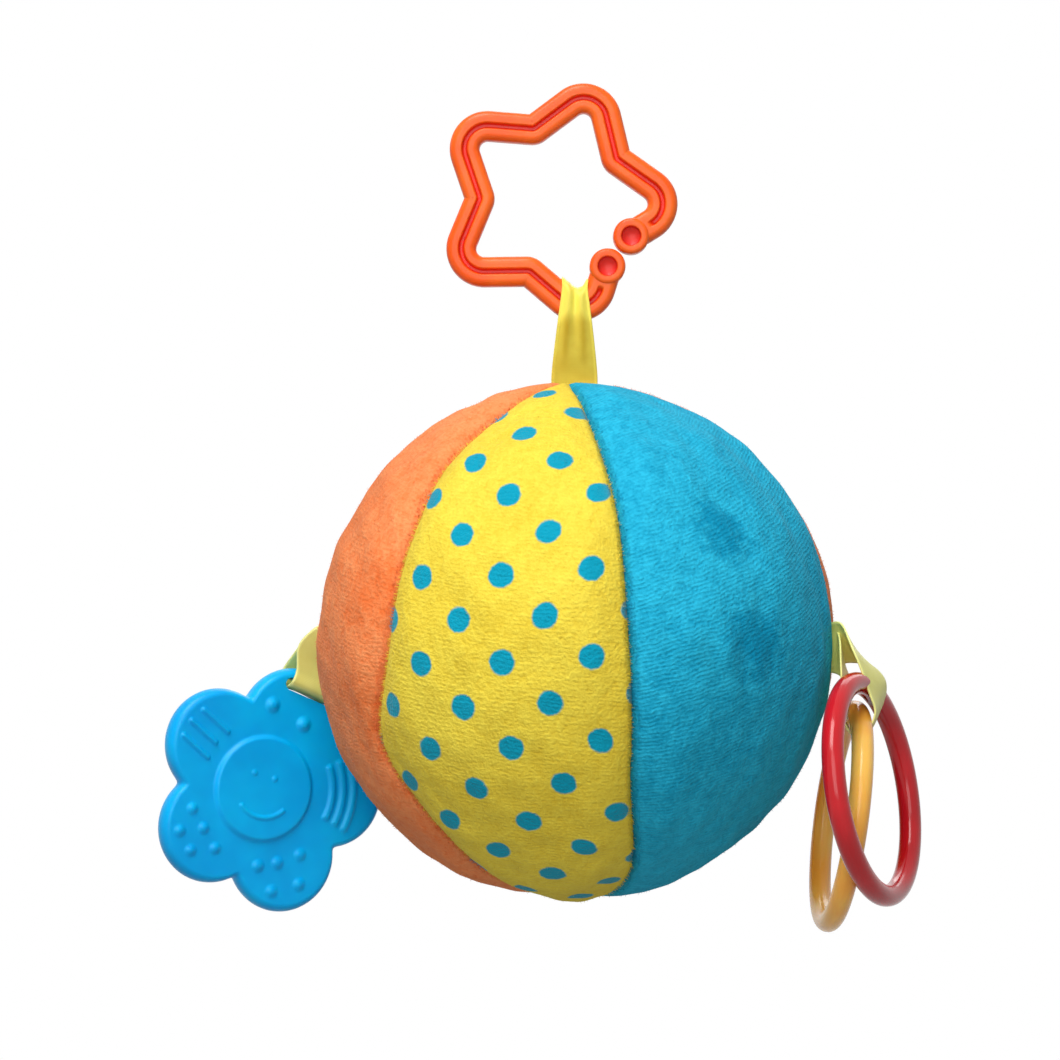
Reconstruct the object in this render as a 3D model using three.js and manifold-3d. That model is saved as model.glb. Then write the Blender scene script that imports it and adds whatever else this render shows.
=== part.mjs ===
// Plush teether ball: a stuffed ball of six fabric gores that hangs by a ribbon from a star-shaped link.
// Ribbon loops sewn into its side seams carry a flower teether and two teething rings.
// Millimetres, +Z up, the front faces -Y. The origin is the inside of the link's top point, where it hangs.

import * as THREE from "three";
import { mergeVertices } from "three/addons/utils/BufferGeometryUtils.js";
import Module from "manifold-3d";

const wasm = await Module();
wasm.setup();

// Driving dimensions, in millimetres and degrees

// Gap between pieces that touch
const CLEARANCE = 0.3;

// Ball skin: gores sewn edge to edge, drawn in along the seams
const BALL_DIAMETER = 130;
const SKIN_THICKNESS = 2;
const GORES = 6;
const SEAM_DEPTH = 1.4;
const SEAM_WIDTH = 6;
const POLE_HOLE_DIAMETER = 5;
const POLE_FADE = 24;
const FRONT_SEAM_LONGITUDE = 11.6;
const BALL_NOD = 6.7;
const BALL_ROLL = -2.2;

// Rattle capsule in the middle of the stuffing
const RATTLE_DIAMETER = 36;
const RATTLE_WALL = 1.5;
const BEAD_DIAMETER = 6;
const BEADS = 3;

// Star link: one bar bent round five points, open between two end discs
const STAR_POINTS = 5;
const STAR_TIP_RADIUS = 31.8;
const STAR_VALLEY_RADIUS = 18.7;
const STAR_TURN = 70.1;
const STAR_TIP_ROUND = 5.8;
const STAR_VALLEY_ROUND = 1.5;
const BAR_WIDTH = 7.5;
const BAR_THICKNESS = 6.5;
const BAR_EDGE = 1.8;
const BAR_EDGE_CUT = 0.3;
const GROOVE_WIDTH = 1.6;
const GROOVE_DEPTH = 1.2;
const GROOVE_RUNOUT = 5;
const GROOVE_LEAST = 0.05;
const DISC_DIAMETER = 9;
const DISC_PROUD = 0.5;
const DIMPLE_DIAMETER = 4.8;
const DIMPLE_DEPTH = 1.5;
const LINK_GAP = 0.6;

// Ribbons
const RIBBON_WIDTH = 11.6;
const RIBBON_THICKNESS = 0.5;
const TOP_RIBBON_REACH = 19.6;
const TOP_BAR_SIDE = 2;
const TOP_FOLD_GAP = 4.45;
const TOP_LOOP_BULGE = 10;
const TOP_FOLD_WIDTH = 6.8;
const TOP_FOLD_SHIFT = -0.7;
const GATHER_START = 0.25;
const GATHER_END = 0.6;
const ROOT_LATITUDE = -1.3;
const TWIST_END = 0.45;

// Flower teether on the left ribbon
const PETALS = 5;
const PETAL_DIAMETER = 28.2;
const PETAL_OFFSET = 18;
const FLOWER_THICKNESS = 6;
const FLOWER_EDGE = 2;
const FLOWER_TURN = -5;
const FLOWER_YAW = 28;
const FACE_DIAMETER = 28;
const FACE_RAISE = 1;
const SLOT_SIDE_GAP = 0.9;
const SLOT_WIDTH = 3.2;
const RIM_WIDTH = 3.6;
const STUD_DIAMETER = 3.4;
const STUD_PITCH = 7.6;
const RIDGE_LENGTH = 11;
const RIDGE_WIDTH = 1.8;
const RIDGE_PITCH = 4.2;
const ARC_RIDGE_REACH = 60;
const RELIEF_HEIGHT = 0.9;
const FLOWER_REACH = 8.6;
const FLOWER_SIDE = -1.8;
const FLOWER_DROP = 8.6;
const FLOWER_FOLD_GAP = 2.5;
const LEFT_LOOP_BULGE = 6;
const LEFT_SHOULDER = 6;

// Teething rings on the right ribbon
const RING_DIAMETER = 58;
const WIRE_DIAMETER = 5.5;
const RING_STEP_GAP = 2;
const AMBER_REACH = 6.4;
const RED_REACH = 7.7;
const RING_SIDE = 7.5;
const AMBER_DROP = 16.2;
const RED_LEAN = 9.7;
const RED_YAW = 23.8;
const RED_SLIDE = 13.7;
const AMBER_LEAN = -8;
const AMBER_YAW = -4;
const AMBER_SLIDE = -13.8;
const RIGHT_LOOP_BULGE = 9.5;
const RIGHT_SHOULDER_REACH = 12;
const RIGHT_SHOULDER_RISE = 2.5;
const RIGHT_FOLD_YAW = 4;
const RIGHT_FOLD_GAP = 3.35;

// Least distance that hanging pieces keep from the ball at rest
const REST_GAP = 0.8;

// Facets
const GORE_FRACTIONS = [0, 0.08, 0.28, 0.5, 0.72, 0.92, 1];
const GORE_ROWS = 16;
const CAVITY_ROWS = 5;
const LOOP_STEPS = 36;
const LOOP_NUDGE = 0.01;
const BEAD_SIDES = 10;
const BEAD_ROWS = 6;
const RIBBON_COLUMNS = 2;
const ARC_STEPS = 4;
const ROUND_SIDES = 24;
const WIRE_SIDES = 8;
const RING_SIDES = 40;
const STUD_SIDES = 12;
const STUD_PROFILE = [[0, -1], [0.6, -1], [1, -0.4], [1, 1], [0, 1]];
const LEVEL_TOLERANCE = 1e-6;
const MERGE_TOLERANCE = 1e-4;

// Sizes that follow from the driving dimensions
const BALL_RADIUS = BALL_DIAMETER / 2;
const GORE_ANGLE = 360 / GORES;
const POLE_LATITUDE = 90 - THREE.MathUtils.radToDeg(Math.asin(POLE_HOLE_DIAMETER / BALL_DIAMETER));
const RATTLE_RADIUS = RATTLE_DIAMETER / 2;
const PETAL_RADIUS = PETAL_DIAMETER / 2;
const WIRE_RADIUS = WIRE_DIAMETER / 2;
const RING_RADIUS = (RING_DIAMETER - WIRE_DIAMETER) / 2;
const TOP_FOLD_RISE = BAR_WIDTH / 2 + TOP_FOLD_GAP;
const SLOT_LENGTH = RIBBON_WIDTH + 2 * SLOT_SIDE_GAP;
const FLOWER_FOLD_DROP = RIM_WIDTH / 2 + FLOWER_FOLD_GAP;
const RIGHT_FOLD_DROP = WIRE_RADIUS + RIGHT_FOLD_GAP;

const UP = new THREE.Vector3(0, 0, 1);
const RIGHT = new THREE.Vector3(1, 0, 0);

// Surface finishes
const CLEAR_OPACITY = 0.85;
const finish = (color, roughness, opacity = 1) =>
  new THREE.MeshStandardMaterial({ color, roughness, metalness: 0, transparent: opacity < 1, opacity });
const ORANGE_PLUSH = finish(0xf27a3a, 0.95);
const DOTTED_PLUSH = finish(0xf5d93a, 0.95);
const TURQUOISE_PLUSH = finish(0x1fa6cc, 0.95);
const FILLING = finish(0xf4f1ea, 1);
const RATTLE_PLASTIC = finish(0xf2f2ee, 0.4);
const BEAD_PLASTIC = finish(0xd9d4c4, 0.35);
const LINK_PLASTIC = finish(0xff6a1e, 0.35);
const SATIN = finish(0xe8e06a, 0.5);
const FLOWER_PLASTIC = finish(0x00a0e8, 0.25, CLEAR_OPACITY);
const RED_PLASTIC = finish(0xd81e2a, 0.25);
const AMBER_PLASTIC = finish(0xf0b040, 0.25, CLEAR_OPACITY);

const rad = THREE.MathUtils.degToRad;

// Bodies from points

// A body between two grids of points, closed by walls along the grids' four edges.
function sheetBody(top, bottom) {
  const rows = top.length;
  const columns = top[0].length;
  const half = rows * columns;
  const at = (row, column) => row * columns + column;
  const index = [];
  const quad = (a, b, c, d) => index.push(a, b, c, a, c, d);
  for (let r = 0; r < rows - 1; r++) {
    for (let c = 0; c < columns - 1; c++) {
      const [a, b, d, e] = [at(r, c), at(r, c + 1), at(r + 1, c + 1), at(r + 1, c)];
      quad(a, b, d, e);
      quad(half + a, half + e, half + d, half + b);
    }
  }
  const rim = [];
  for (let c = 0; c < columns; c++) rim.push(at(0, c));
  for (let r = 1; r < rows; r++) rim.push(at(r, columns - 1));
  for (let c = columns - 2; c >= 0; c--) rim.push(at(rows - 1, c));
  for (let r = rows - 2; r > 0; r--) rim.push(at(r, 0));
  rim.forEach((a, i) => {
    const b = rim[(i + 1) % rim.length];
    quad(b, a, half + a, half + b);
  });
  return new THREE.BufferGeometry().setFromPoints([...top.flat(), ...bottom.flat()]).setIndex(index);
}

// A body of closed rings of points between two poles. Flip turns its faces round.
function poleBody(firstPole, rings, lastPole, flip) {
  const sides = rings[0].length;
  const last = rings.length * sides + 1;
  const at = (ring, side) => 1 + ring * sides + (side % sides);
  const index = [];
  const face = (a, b, c) => index.push(...(flip ? [a, c, b] : [a, b, c]));
  for (let s = 0; s < sides; s++) {
    face(0, at(0, s), at(0, s + 1));
    face(last, at(rings.length - 1, s + 1), at(rings.length - 1, s));
    for (let r = 0; r < rings.length - 1; r++) {
      face(at(r, s), at(r + 1, s), at(r + 1, s + 1));
      face(at(r, s), at(r + 1, s + 1), at(r, s + 1));
    }
  }
  return new THREE.BufferGeometry().setFromPoints([firstPole, ...rings.flat(), lastPole]).setIndex(index);
}

// A body swept through sections that all have the points of one outline, with flat ends.
function sweptBody(sections, outline) {
  const sides = outline.length;
  const at = (section, side) => section * sides + (side % sides);
  const lastStart = (sections.length - 1) * sides;
  const index = [];
  for (let i = 0; i < sections.length - 1; i++) {
    for (let s = 0; s < sides; s++) {
      index.push(at(i, s), at(i, s + 1), at(i + 1, s + 1));
      index.push(at(i, s), at(i + 1, s + 1), at(i + 1, s));
    }
  }
  for (const [a, b, c] of THREE.ShapeUtils.triangulateShape(outline, [])) {
    index.push(a, c, b);
    index.push(lastStart + a, lastStart + b, lastStart + c);
  }
  return new THREE.BufferGeometry().setFromPoints(sections.flat()).setIndex(index);
}

// A turned body about the Y axis from a profile of [radius, height] pairs.
function turned(profile, sides = ROUND_SIDES) {
  return new THREE.LatheGeometry(profile.map(([r, h]) => new THREE.Vector2(r, h)), sides);
}

// A turned disc about the Y axis whose edges are rounded off.
function roundedDisc(radius, thickness, edge) {
  const half = thickness / 2;
  const profile = [[0, -half]];
  for (const side of [-1, 1]) {
    for (let i = 0; i <= 2; i++) {
      const a = rad((side < 0 ? i - 2 : i) * 45);
      profile.push([radius - edge + edge * Math.cos(a), side * (half - edge) + edge * Math.sin(a)]);
    }
  }
  profile.push([0, half]);
  return turned(profile);
}

// A flat shape drawn in X and Z, given a thickness along Y about a middle plane.
function plate(shape, thickness, middle = 0) {
  const options = { depth: thickness, bevelEnabled: false, curveSegments: ARC_STEPS };
  const body = new THREE.ExtrudeGeometry(shape, options);
  return body.rotateX(Math.PI / 2).translate(0, middle + thickness / 2, 0);
}

// Joining and cutting

function toSolid(geometry) {
  const bare = geometry.clone();
  bare.deleteAttribute("normal");
  bare.deleteAttribute("uv");
  const merged = mergeVertices(bare, MERGE_TOLERANCE);
  const mesh = new wasm.Mesh({
    numProp: 3,
    vertProperties: merged.attributes.position.array,
    triVerts: new Uint32Array(merged.index.array),
  });
  return new wasm.Manifold(mesh);
}

function toGeometry(solid) {
  const mesh = solid.getMesh();
  const geometry = new THREE.BufferGeometry();
  geometry.setAttribute("position", new THREE.BufferAttribute(mesh.vertProperties, 3));
  return geometry.setIndex(new THREE.BufferAttribute(mesh.triVerts, 1));
}

const joined = (geometries) => geometries.map(toSolid).reduce((whole, piece) => whole.add(piece));

function node(name, geometry, material) {
  const mesh = new THREE.Mesh(geometry, material);
  mesh.name = name;
  return mesh;
}

// Ball surface

// A point at a longitude, counted from the front towards +X, and a latitude, in degrees.
function ballPoint(longitude, latitude, radius) {
  const [lon, lat] = [rad(longitude), rad(latitude)];
  const level = radius * Math.cos(lat);
  return new THREE.Vector3(level * Math.sin(lon), -level * Math.cos(lon), radius * Math.sin(lat));
}

// Radius of the skin's outside: drawn in along the seams, less so near the poles.
function skinRadius(longitude, latitude) {
  const level = BALL_RADIUS * Math.cos(rad(latitude));
  const turns = (longitude - FRONT_SEAM_LONGITUDE) / GORE_ANGLE;
  const distance = Math.abs(turns - Math.round(turns)) * rad(GORE_ANGLE) * level;
  const depth = SEAM_DEPTH * Math.min(1, level / POLE_FADE);
  return BALL_RADIUS - depth * Math.exp(-((distance / SEAM_WIDTH) ** 2));
}

const goreLatitudes = Array.from(
  { length: GORE_ROWS + 1 },
  (_, row) => POLE_LATITUDE * (2 * row / GORE_ROWS - 1),
);

// One gore of the skin, between two seams.
function gore(firstSeam) {
  const grid = (inset) =>
    goreLatitudes.map((latitude) => {
      const level = (BALL_RADIUS - SKIN_THICKNESS) * Math.cos(rad(latitude));
      const margin = THREE.MathUtils.radToDeg(CLEARANCE / 2 / level);
      return GORE_FRACTIONS.map((fraction) => {
        const longitude = firstSeam + margin + fraction * (GORE_ANGLE - 2 * margin);
        return ballPoint(longitude, latitude, skinRadius(longitude, latitude) - inset);
      });
    });
  return sheetBody(grid(0), grid(SKIN_THICKNESS));
}

// Half of the filling: it follows the skin's inside and leaves a round hollow for the rattle.
function filling(side) {
  const inset = SKIN_THICKNESS + CLEARANCE;
  const longitudes = [];
  for (let g = 0; g < GORES; g++) {
    for (const fraction of GORE_FRACTIONS.slice(0, -1)) {
      longitudes.push(FRONT_SEAM_LONGITUDE + (g + fraction) * GORE_ANGLE);
    }
  }
  const lift = (points) => points.map((p) => p.setZ(side * Math.max(Math.abs(p.z), CLEARANCE / 2)));
  const ring = (latitude, radiusAt) =>
    lift(longitudes.map((lon) => ballPoint(lon, side * latitude, radiusAt(lon, latitude))));
  const outside = goreLatitudes.filter((latitude) => latitude > -LEVEL_TOLERANCE).reverse();
  const hollow = (RATTLE_RADIUS + CLEARANCE) / Math.cos(rad(90 / CAVITY_ROWS / 2));
  const rings = outside.map((latitude) => ring(latitude, (lon, lat) => skinRadius(lon, lat) - inset));
  for (let row = 0; row < CAVITY_ROWS; row++) {
    rings.push(ring(90 * row / CAVITY_ROWS, () => hollow));
  }
  const top = UP.clone().multiplyScalar(side * (BALL_RADIUS - inset));
  return poleBody(top, rings, UP.clone().multiplyScalar(side * hollow), side < 0);
}

// Half of the rattle's capsule: a bowl whose rim faces the other half's.
function rattleShell(side) {
  const arc = (radius, from, to) =>
    Array.from({ length: ARC_STEPS + 1 }, (_, i) => {
      const a = rad(from + (to - from) * i / ARC_STEPS);
      return [radius * Math.cos(a), Math.max(radius * Math.sin(a), CLEARANCE / 2)];
    });
  const profile = [...arc(RATTLE_RADIUS - RATTLE_WALL, 90, 0), ...arc(RATTLE_RADIUS, 0, 90)];
  profile[0][0] = 0;
  profile[profile.length - 1][0] = 0;
  return turned(profile).rotateX(side * Math.PI / 2);
}

// The ball, nodding towards the front and leaning to the left
const ball = new THREE.Group();
ball.rotation.set(rad(BALL_NOD), rad(BALL_ROLL), 0, "YXZ");
ball.updateMatrixWorld();
const goreFinishes = [
  ["panel_turquoise_front", TURQUOISE_PLUSH],
  ["panel_orange_back", ORANGE_PLUSH],
  ["panel_dotted_back", DOTTED_PLUSH],
  ["panel_turquoise_back", TURQUOISE_PLUSH],
  ["panel_orange_front", ORANGE_PLUSH],
  ["panel_dotted_front", DOTTED_PLUSH],
];
goreFinishes.forEach(([name, material], i) => {
  ball.add(node(name, gore(FRONT_SEAM_LONGITUDE + i * GORE_ANGLE), material));
});
ball.add(node("stuffing_upper", filling(1), FILLING));
ball.add(node("stuffing_lower", filling(-1), FILLING));

// The rattle stays level in its round hollow, with the beads on its floor.
const rattle = new THREE.Group();
rattle.add(node("rattle_shell_upper", rattleShell(1), RATTLE_PLASTIC));
rattle.add(node("rattle_shell_lower", rattleShell(-1), RATTLE_PLASTIC));
const beadCircle = (BEAD_DIAMETER + CLEARANCE) / 2 / Math.sin(Math.PI / BEADS);
const beadReach = RATTLE_RADIUS - RATTLE_WALL - CLEARANCE - BEAD_DIAMETER / 2;
for (let i = 0; i < BEADS; i++) {
  const sphere = new THREE.SphereGeometry(BEAD_DIAMETER / 2, BEAD_SIDES, BEAD_ROWS);
  const bead = node(`rattle_bead_${i + 1}`, sphere, BEAD_PLASTIC);
  const angle = 2 * Math.PI * i / BEADS;
  bead.position.set(Math.sin(angle) * beadCircle, -Math.cos(angle) * beadCircle, 0);
  bead.position.z = -Math.sqrt(beadReach ** 2 - beadCircle ** 2);
  rattle.add(bead);
}

// Ribbons

// A ribbon folded into a loop. Its middle follows a curve from the root, where both ends lie side by side,
// to the fold. Along the curve its width turns from one direction to the other and runs between the edges'
// two distances.
function ribbonLoop({ curve, rootWidth, foldWidth, bulge, edges }) {
  const place = (angle) => {
    const along = (1 - Math.cos(angle)) / 2;
    const twist = THREE.MathUtils.smoothstep(along, 0, TWIST_END);
    const across = rootWidth.clone().lerp(foldWidth, twist).normalize();
    const out = across.clone().cross(curve.getTangent(along)).normalize();
    const apart = (RIBBON_THICKNESS + CLEARANCE) / 2;
    const offset = apart * Math.cos(angle / 2) + bulge * Math.sin(angle) * Math.sin(angle / 2);
    return { along, across, point: curve.getPoint(along).addScaledVector(out, offset) };
  };
  const [front, back] = [[], []];
  for (let i = 0; i <= LOOP_STEPS; i++) {
    const angle = 2 * Math.PI * i / LOOP_STEPS;
    const { along, across, point } = place(angle);
    const ahead = place(Math.min(angle + LOOP_NUDGE, 2 * Math.PI)).point;
    const behind = place(Math.max(angle - LOOP_NUDGE, 0)).point;
    const face = ahead.sub(behind).cross(across).normalize().multiplyScalar(RIBBON_THICKNESS / 2);
    const [near, far] = edges(along);
    const row = Array.from({ length: RIBBON_COLUMNS + 1 }, (_, c) =>
      point.clone().addScaledVector(across, near + (far - near) * c / RIBBON_COLUMNS),
    );
    front.push(row.map((p) => p.clone().add(face)));
    back.push(row.map((p) => p.clone().sub(face)));
  }
  return sheetBody(back, front);
}

const evenEdges = () => [-RIBBON_WIDTH / 2, RIBBON_WIDTH / 2];

// Where a side ribbon leaves its seam, with the directions out of the ball, round it and down the seam
function seamRoot(gapsFromFront) {
  const longitude = FRONT_SEAM_LONGITUDE + gapsFromFront * GORE_ANGLE;
  const radius = BALL_RADIUS - SEAM_DEPTH + CLEARANCE + RIBBON_THICKNESS;
  const point = ballPoint(longitude, ROOT_LATITUDE, radius).applyMatrix4(ball.matrixWorld);
  const out = new THREE.Vector3(point.x, point.y, 0).normalize();
  const round = UP.clone().cross(out);
  const down = UP.clone().negate().transformDirection(ball.matrixWorld);
  const top = point.clone().addScaledVector(down, -RIBBON_WIDTH / 2);
  return { point, out, round, down, top };
}

// How far points must move along a direction until all of them clear the ball.
function moveToClear(points, direction, radius) {
  return Math.max(
    0,
    ...points.map((p) => {
      const along = p.dot(direction);
      const inside = along ** 2 - p.lengthSq() + radius ** 2;
      return inside > 0 ? Math.sqrt(inside) - along : 0;
    }),
  );
}

// Star link

// The bar's middle line: corners joined by straight runs and rounded by arcs, as [point, direction] stations.
function roundedLine(corners, rounds) {
  const stations = [];
  corners.slice(1, -1).forEach((corner, i) => {
    const into = corner.clone().sub(corners[i]).normalize();
    const away = corners[i + 2].clone().sub(corner).normalize();
    const turn = Math.atan2(into.x * away.y - into.y * away.x, into.dot(away));
    const start = corner.clone().addScaledVector(into, -rounds[i] * Math.tan(Math.abs(turn) / 2));
    const normal = new THREE.Vector2(-into.y, into.x).multiplyScalar(Math.sign(turn) * rounds[i]);
    const centre = start.clone().add(normal);
    for (let s = 0; s <= ARC_STEPS; s++) {
      const angle = turn * s / ARC_STEPS;
      const heading = into.clone().rotateAround(new THREE.Vector2(), angle);
      stations.push([start.clone().rotateAround(centre, angle), heading]);
    }
  });
  const direction = (a, b) => b.clone().sub(a).normalize();
  const first = [corners[0], direction(corners[0], corners[1])];
  const last = [corners.at(-1), direction(corners.at(-2), corners.at(-1))];
  return [first, ...stations, last];
}

// The bar's section across its line: edges cut off, with a groove of the given depth along both faces.
function barSection(groove) {
  const [w, t, e, g] = [BAR_WIDTH / 2, BAR_THICKNESS / 2, BAR_EDGE, GROOVE_WIDTH / 2];
  const cut = e * BAR_EDGE_CUT;
  const quarter = [[w, t - e], [w - cut, t - cut], [w - e, t], [g, t], [g, t - groove]];
  const outline = [
    ...quarter,
    ...quarter.map(([x, y]) => [-x, y]).reverse(),
    ...quarter.map(([x, y]) => [-x, -y]),
    ...quarter.map(([x, y]) => [x, -y]).reverse(),
  ];
  return outline.map(([x, y]) => new THREE.Vector2(x, y));
}

function starPoint(radius, angle) {
  return new THREE.Vector2(radius * Math.cos(rad(angle)), radius * Math.sin(rad(angle)));
}

// Tips and valleys in turn, from the open valley's right leg round to its left leg
const starStep = 180 / STAR_POINTS;
const openAngle = STAR_TURN - 3 * starStep;
const starCorners = [];
const starRounds = [];
for (let i = 1; i < 2 * STAR_POINTS; i++) {
  const tip = i % 2 === 1;
  starCorners.push(starPoint(tip ? STAR_TIP_RADIUS : STAR_VALLEY_RADIUS, openAngle + i * starStep));
  starRounds.push(tip ? STAR_TIP_ROUND : STAR_VALLEY_ROUND);
}
const openValley = starPoint(STAR_VALLEY_RADIUS, openAngle);
const legs = [starCorners[0], starCorners.at(-1)].map((tip) => tip.clone().sub(openValley).normalize());
const discSpread = Math.sin(Math.acos(legs[0].dot(legs[1])) / 2);
const discDistance = (DISC_DIAMETER + LINK_GAP) / 2 / discSpread;
const discCentres = legs.map((leg) => openValley.clone().addScaledVector(leg, discDistance));
const endReach = DIMPLE_DIAMETER / 2 + CLEARANCE;
const barEnds = legs.map((leg, i) => discCentres[i].clone().addScaledVector(leg, endReach));

function starLink() {
  const stations = roundedLine([barEnds[0], ...starCorners, barEnds[1]], starRounds);
  const discGap = (p) => Math.min(...discCentres.map((c) => c.distanceTo(p))) - DISC_DIAMETER / 2;
  const sections = stations.map(([p, d]) => {
    const fade = THREE.MathUtils.smoothstep(discGap(p), 0, GROOVE_RUNOUT);
    const across = new THREE.Vector2(d.y, -d.x);
    const outline = barSection(GROOVE_DEPTH * Math.max(fade, GROOVE_LEAST));
    return outline.map((q) => new THREE.Vector3(p.x + across.x * q.x, q.y, p.y + across.y * q.x));
  });
  const half = BAR_THICKNESS / 2 + DISC_PROUD;
  const [edge, rim, dimple] = [DISC_PROUD * 2, DISC_DIAMETER / 2, DIMPLE_DIAMETER / 2];
  const profile = [
    [0, DIMPLE_DEPTH - half],
    [dimple, DIMPLE_DEPTH - half],
    [dimple, -half],
    [rim - edge, -half],
    [rim, edge - half],
    [rim, half - edge],
    [rim - edge, half],
    [dimple, half],
    [dimple, half - DIMPLE_DEPTH],
    [0, half - DIMPLE_DEPTH],
  ];
  const discs = discCentres.map((c) => turned(profile).translate(c.x, 0, c.y));
  return toGeometry(joined([sweptBody(sections, barSection(GROOVE_DEPTH)), ...discs]));
}

// The bottom point's bar lies in the top ribbon's fold, above the ball.
const bottomTurn = openAngle + (2 * STAR_POINTS - 1) * starStep;
const tipSine = Math.sin(Math.acos(legs[1].dot(starPoint(1, bottomTurn))));
const tipPull = STAR_TIP_ROUND * (1 / tipSine - 1);
const bottomBar = starPoint(STAR_TIP_RADIUS - tipPull, bottomTurn);
const starRise = BALL_RADIUS + TOP_RIBBON_REACH - bottomBar.y;
const starCentre = new THREE.Vector3(TOP_BAR_SIDE - bottomBar.x, 0, starRise);
const star = node("star_link", starLink(), LINK_PLASTIC);
star.position.copy(starCentre);
const topInside = starPoint(STAR_TIP_RADIUS - tipPull - BAR_WIDTH / 2, STAR_TURN);
const hangPoint = starCentre.clone().add(new THREE.Vector3(topInside.x, 0, topInside.y));

// Top ribbon: gathered where it goes round the bar, full width at the ball
const topRoot = new THREE.Vector3(0, 0, BALL_RADIUS + CLEARANCE);
const topFold = topRoot.clone().setZ(BALL_RADIUS + TOP_RIBBON_REACH + TOP_FOLD_RISE);
const topMiddle = topRoot.clone().lerp(topFold, 0.5);
const topRibbon = node(
  "top_ribbon",
  ribbonLoop({
    curve: new THREE.QuadraticBezierCurve3(topRoot, topMiddle, topFold),
    rootWidth: RIGHT,
    foldWidth: RIGHT,
    bulge: TOP_LOOP_BULGE,
    edges: (along) => {
      const gather = THREE.MathUtils.smoothstep(along, GATHER_START, GATHER_END);
      const half = THREE.MathUtils.lerp(RIBBON_WIDTH, TOP_FOLD_WIDTH, gather) / 2;
      return [TOP_FOLD_SHIFT * gather - half, TOP_FOLD_SHIFT * gather + half];
    },
  }),
  SATIN,
);

// Flower teether

// A short bar with round ends, drawn in X and Y about a middle point and turned by an angle.
function stadium(length, width, x, y, angle) {
  const shape = new THREE.Shape();
  const run = (length - width) / 2;
  const middle = new THREE.Vector2(x, y);
  const end = (side) => middle.clone().add(starPoint(side * run, angle));
  shape.absarc(end(1).x, end(1).y, width / 2, rad(angle - 90), rad(angle + 90), false);
  shape.absarc(end(-1).x, end(-1).y, width / 2, rad(angle + 90), rad(angle + 270), false);
  return shape;
}

const petalAngle = (i) => FLOWER_TURN + i * 360 / PETALS;
const petalCentre = (i) => starPoint(PETAL_OFFSET, petalAngle(i));
const slotPetal = 1;
const slotAngle = petalAngle(slotPetal);
const rimDistance = PETAL_OFFSET + PETAL_RADIUS - RIM_WIDTH / 2;
const rimMiddle = starPoint(rimDistance, slotAngle);

// Raised teething patterns on the front: arcs, studs and ridges, one kind on each petal
function flowerRelief() {
  const middle = -FLOWER_THICKNESS / 2;
  const raise = (shape) => plate(shape, 2 * RELIEF_HEIGHT, middle);
  const stud = (i, across, out) => {
    const p = petalCentre(i).add(starPoint(across, petalAngle(i) - 90)).add(starPoint(out, petalAngle(i)));
    const body = turned(STUD_PROFILE, STUD_SIDES);
    return body.scale(STUD_DIAMETER / 2, RELIEF_HEIGHT, STUD_DIAMETER / 2).translate(p.x, middle, p.y);
  };
  const ridge = (i, out, length) => {
    const p = petalCentre(i).add(starPoint(out, petalAngle(i)));
    return raise(stadium(length, RIDGE_WIDTH, p.x, p.y, petalAngle(i) - 90));
  };
  const arcRidge = (i, radius) => {
    const shape = new THREE.Shape();
    const [from, to] = [rad(petalAngle(i) - ARC_RIDGE_REACH), rad(petalAngle(i) + ARC_RIDGE_REACH)];
    const p = petalCentre(i);
    shape.absarc(p.x, p.y, radius + RIDGE_WIDTH / 2, from, to, false);
    shape.absarc(p.x, p.y, radius - RIDGE_WIDTH / 2, to, from, true);
    return raise(shape);
  };
  const half = STUD_PITCH / 2;
  return [
    arcRidge(0, RIDGE_PITCH),
    arcRidge(0, 2 * RIDGE_PITCH),
    stud(1, -half, 0),
    stud(1, half, 0),
    ...[-1, 0, 1].map((k) => ridge(2, k * RIDGE_PITCH + RIDGE_PITCH / 2, RIDGE_LENGTH)),
    stud(3, 0, 2 * half),
    ...[[-1, 0.5], [1, 0.5], [-1, -0.5], [1, -0.5]].map(([a, b]) => stud(3, a * half, b * half)),
    ...[[-1, 1], [1, 1], [-1, -1], [1, -1]].map(([a, b]) => stud(4, a * half, half / 2 + b * half)),
  ];
}

function flowerTeether() {
  const petals = Array.from({ length: PETALS }, (_, i) => {
    const p = petalCentre(i);
    return roundedDisc(PETAL_RADIUS, FLOWER_THICKNESS, FLOWER_EDGE).translate(p.x, 0, p.y);
  });
  const face = roundedDisc(FACE_DIAMETER / 2, FLOWER_THICKNESS + 2 * FACE_RAISE, FACE_RAISE);
  const slotMiddle = starPoint(rimDistance - RIM_WIDTH / 2 - SLOT_WIDTH / 2, slotAngle);
  const opening = stadium(SLOT_LENGTH, SLOT_WIDTH, slotMiddle.x, slotMiddle.y, slotAngle - 90);
  const slot = plate(opening, 2 * FLOWER_THICKNESS);
  return toGeometry(joined([...petals, face, ...flowerRelief()]).subtract(toSolid(slot)));
}

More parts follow.
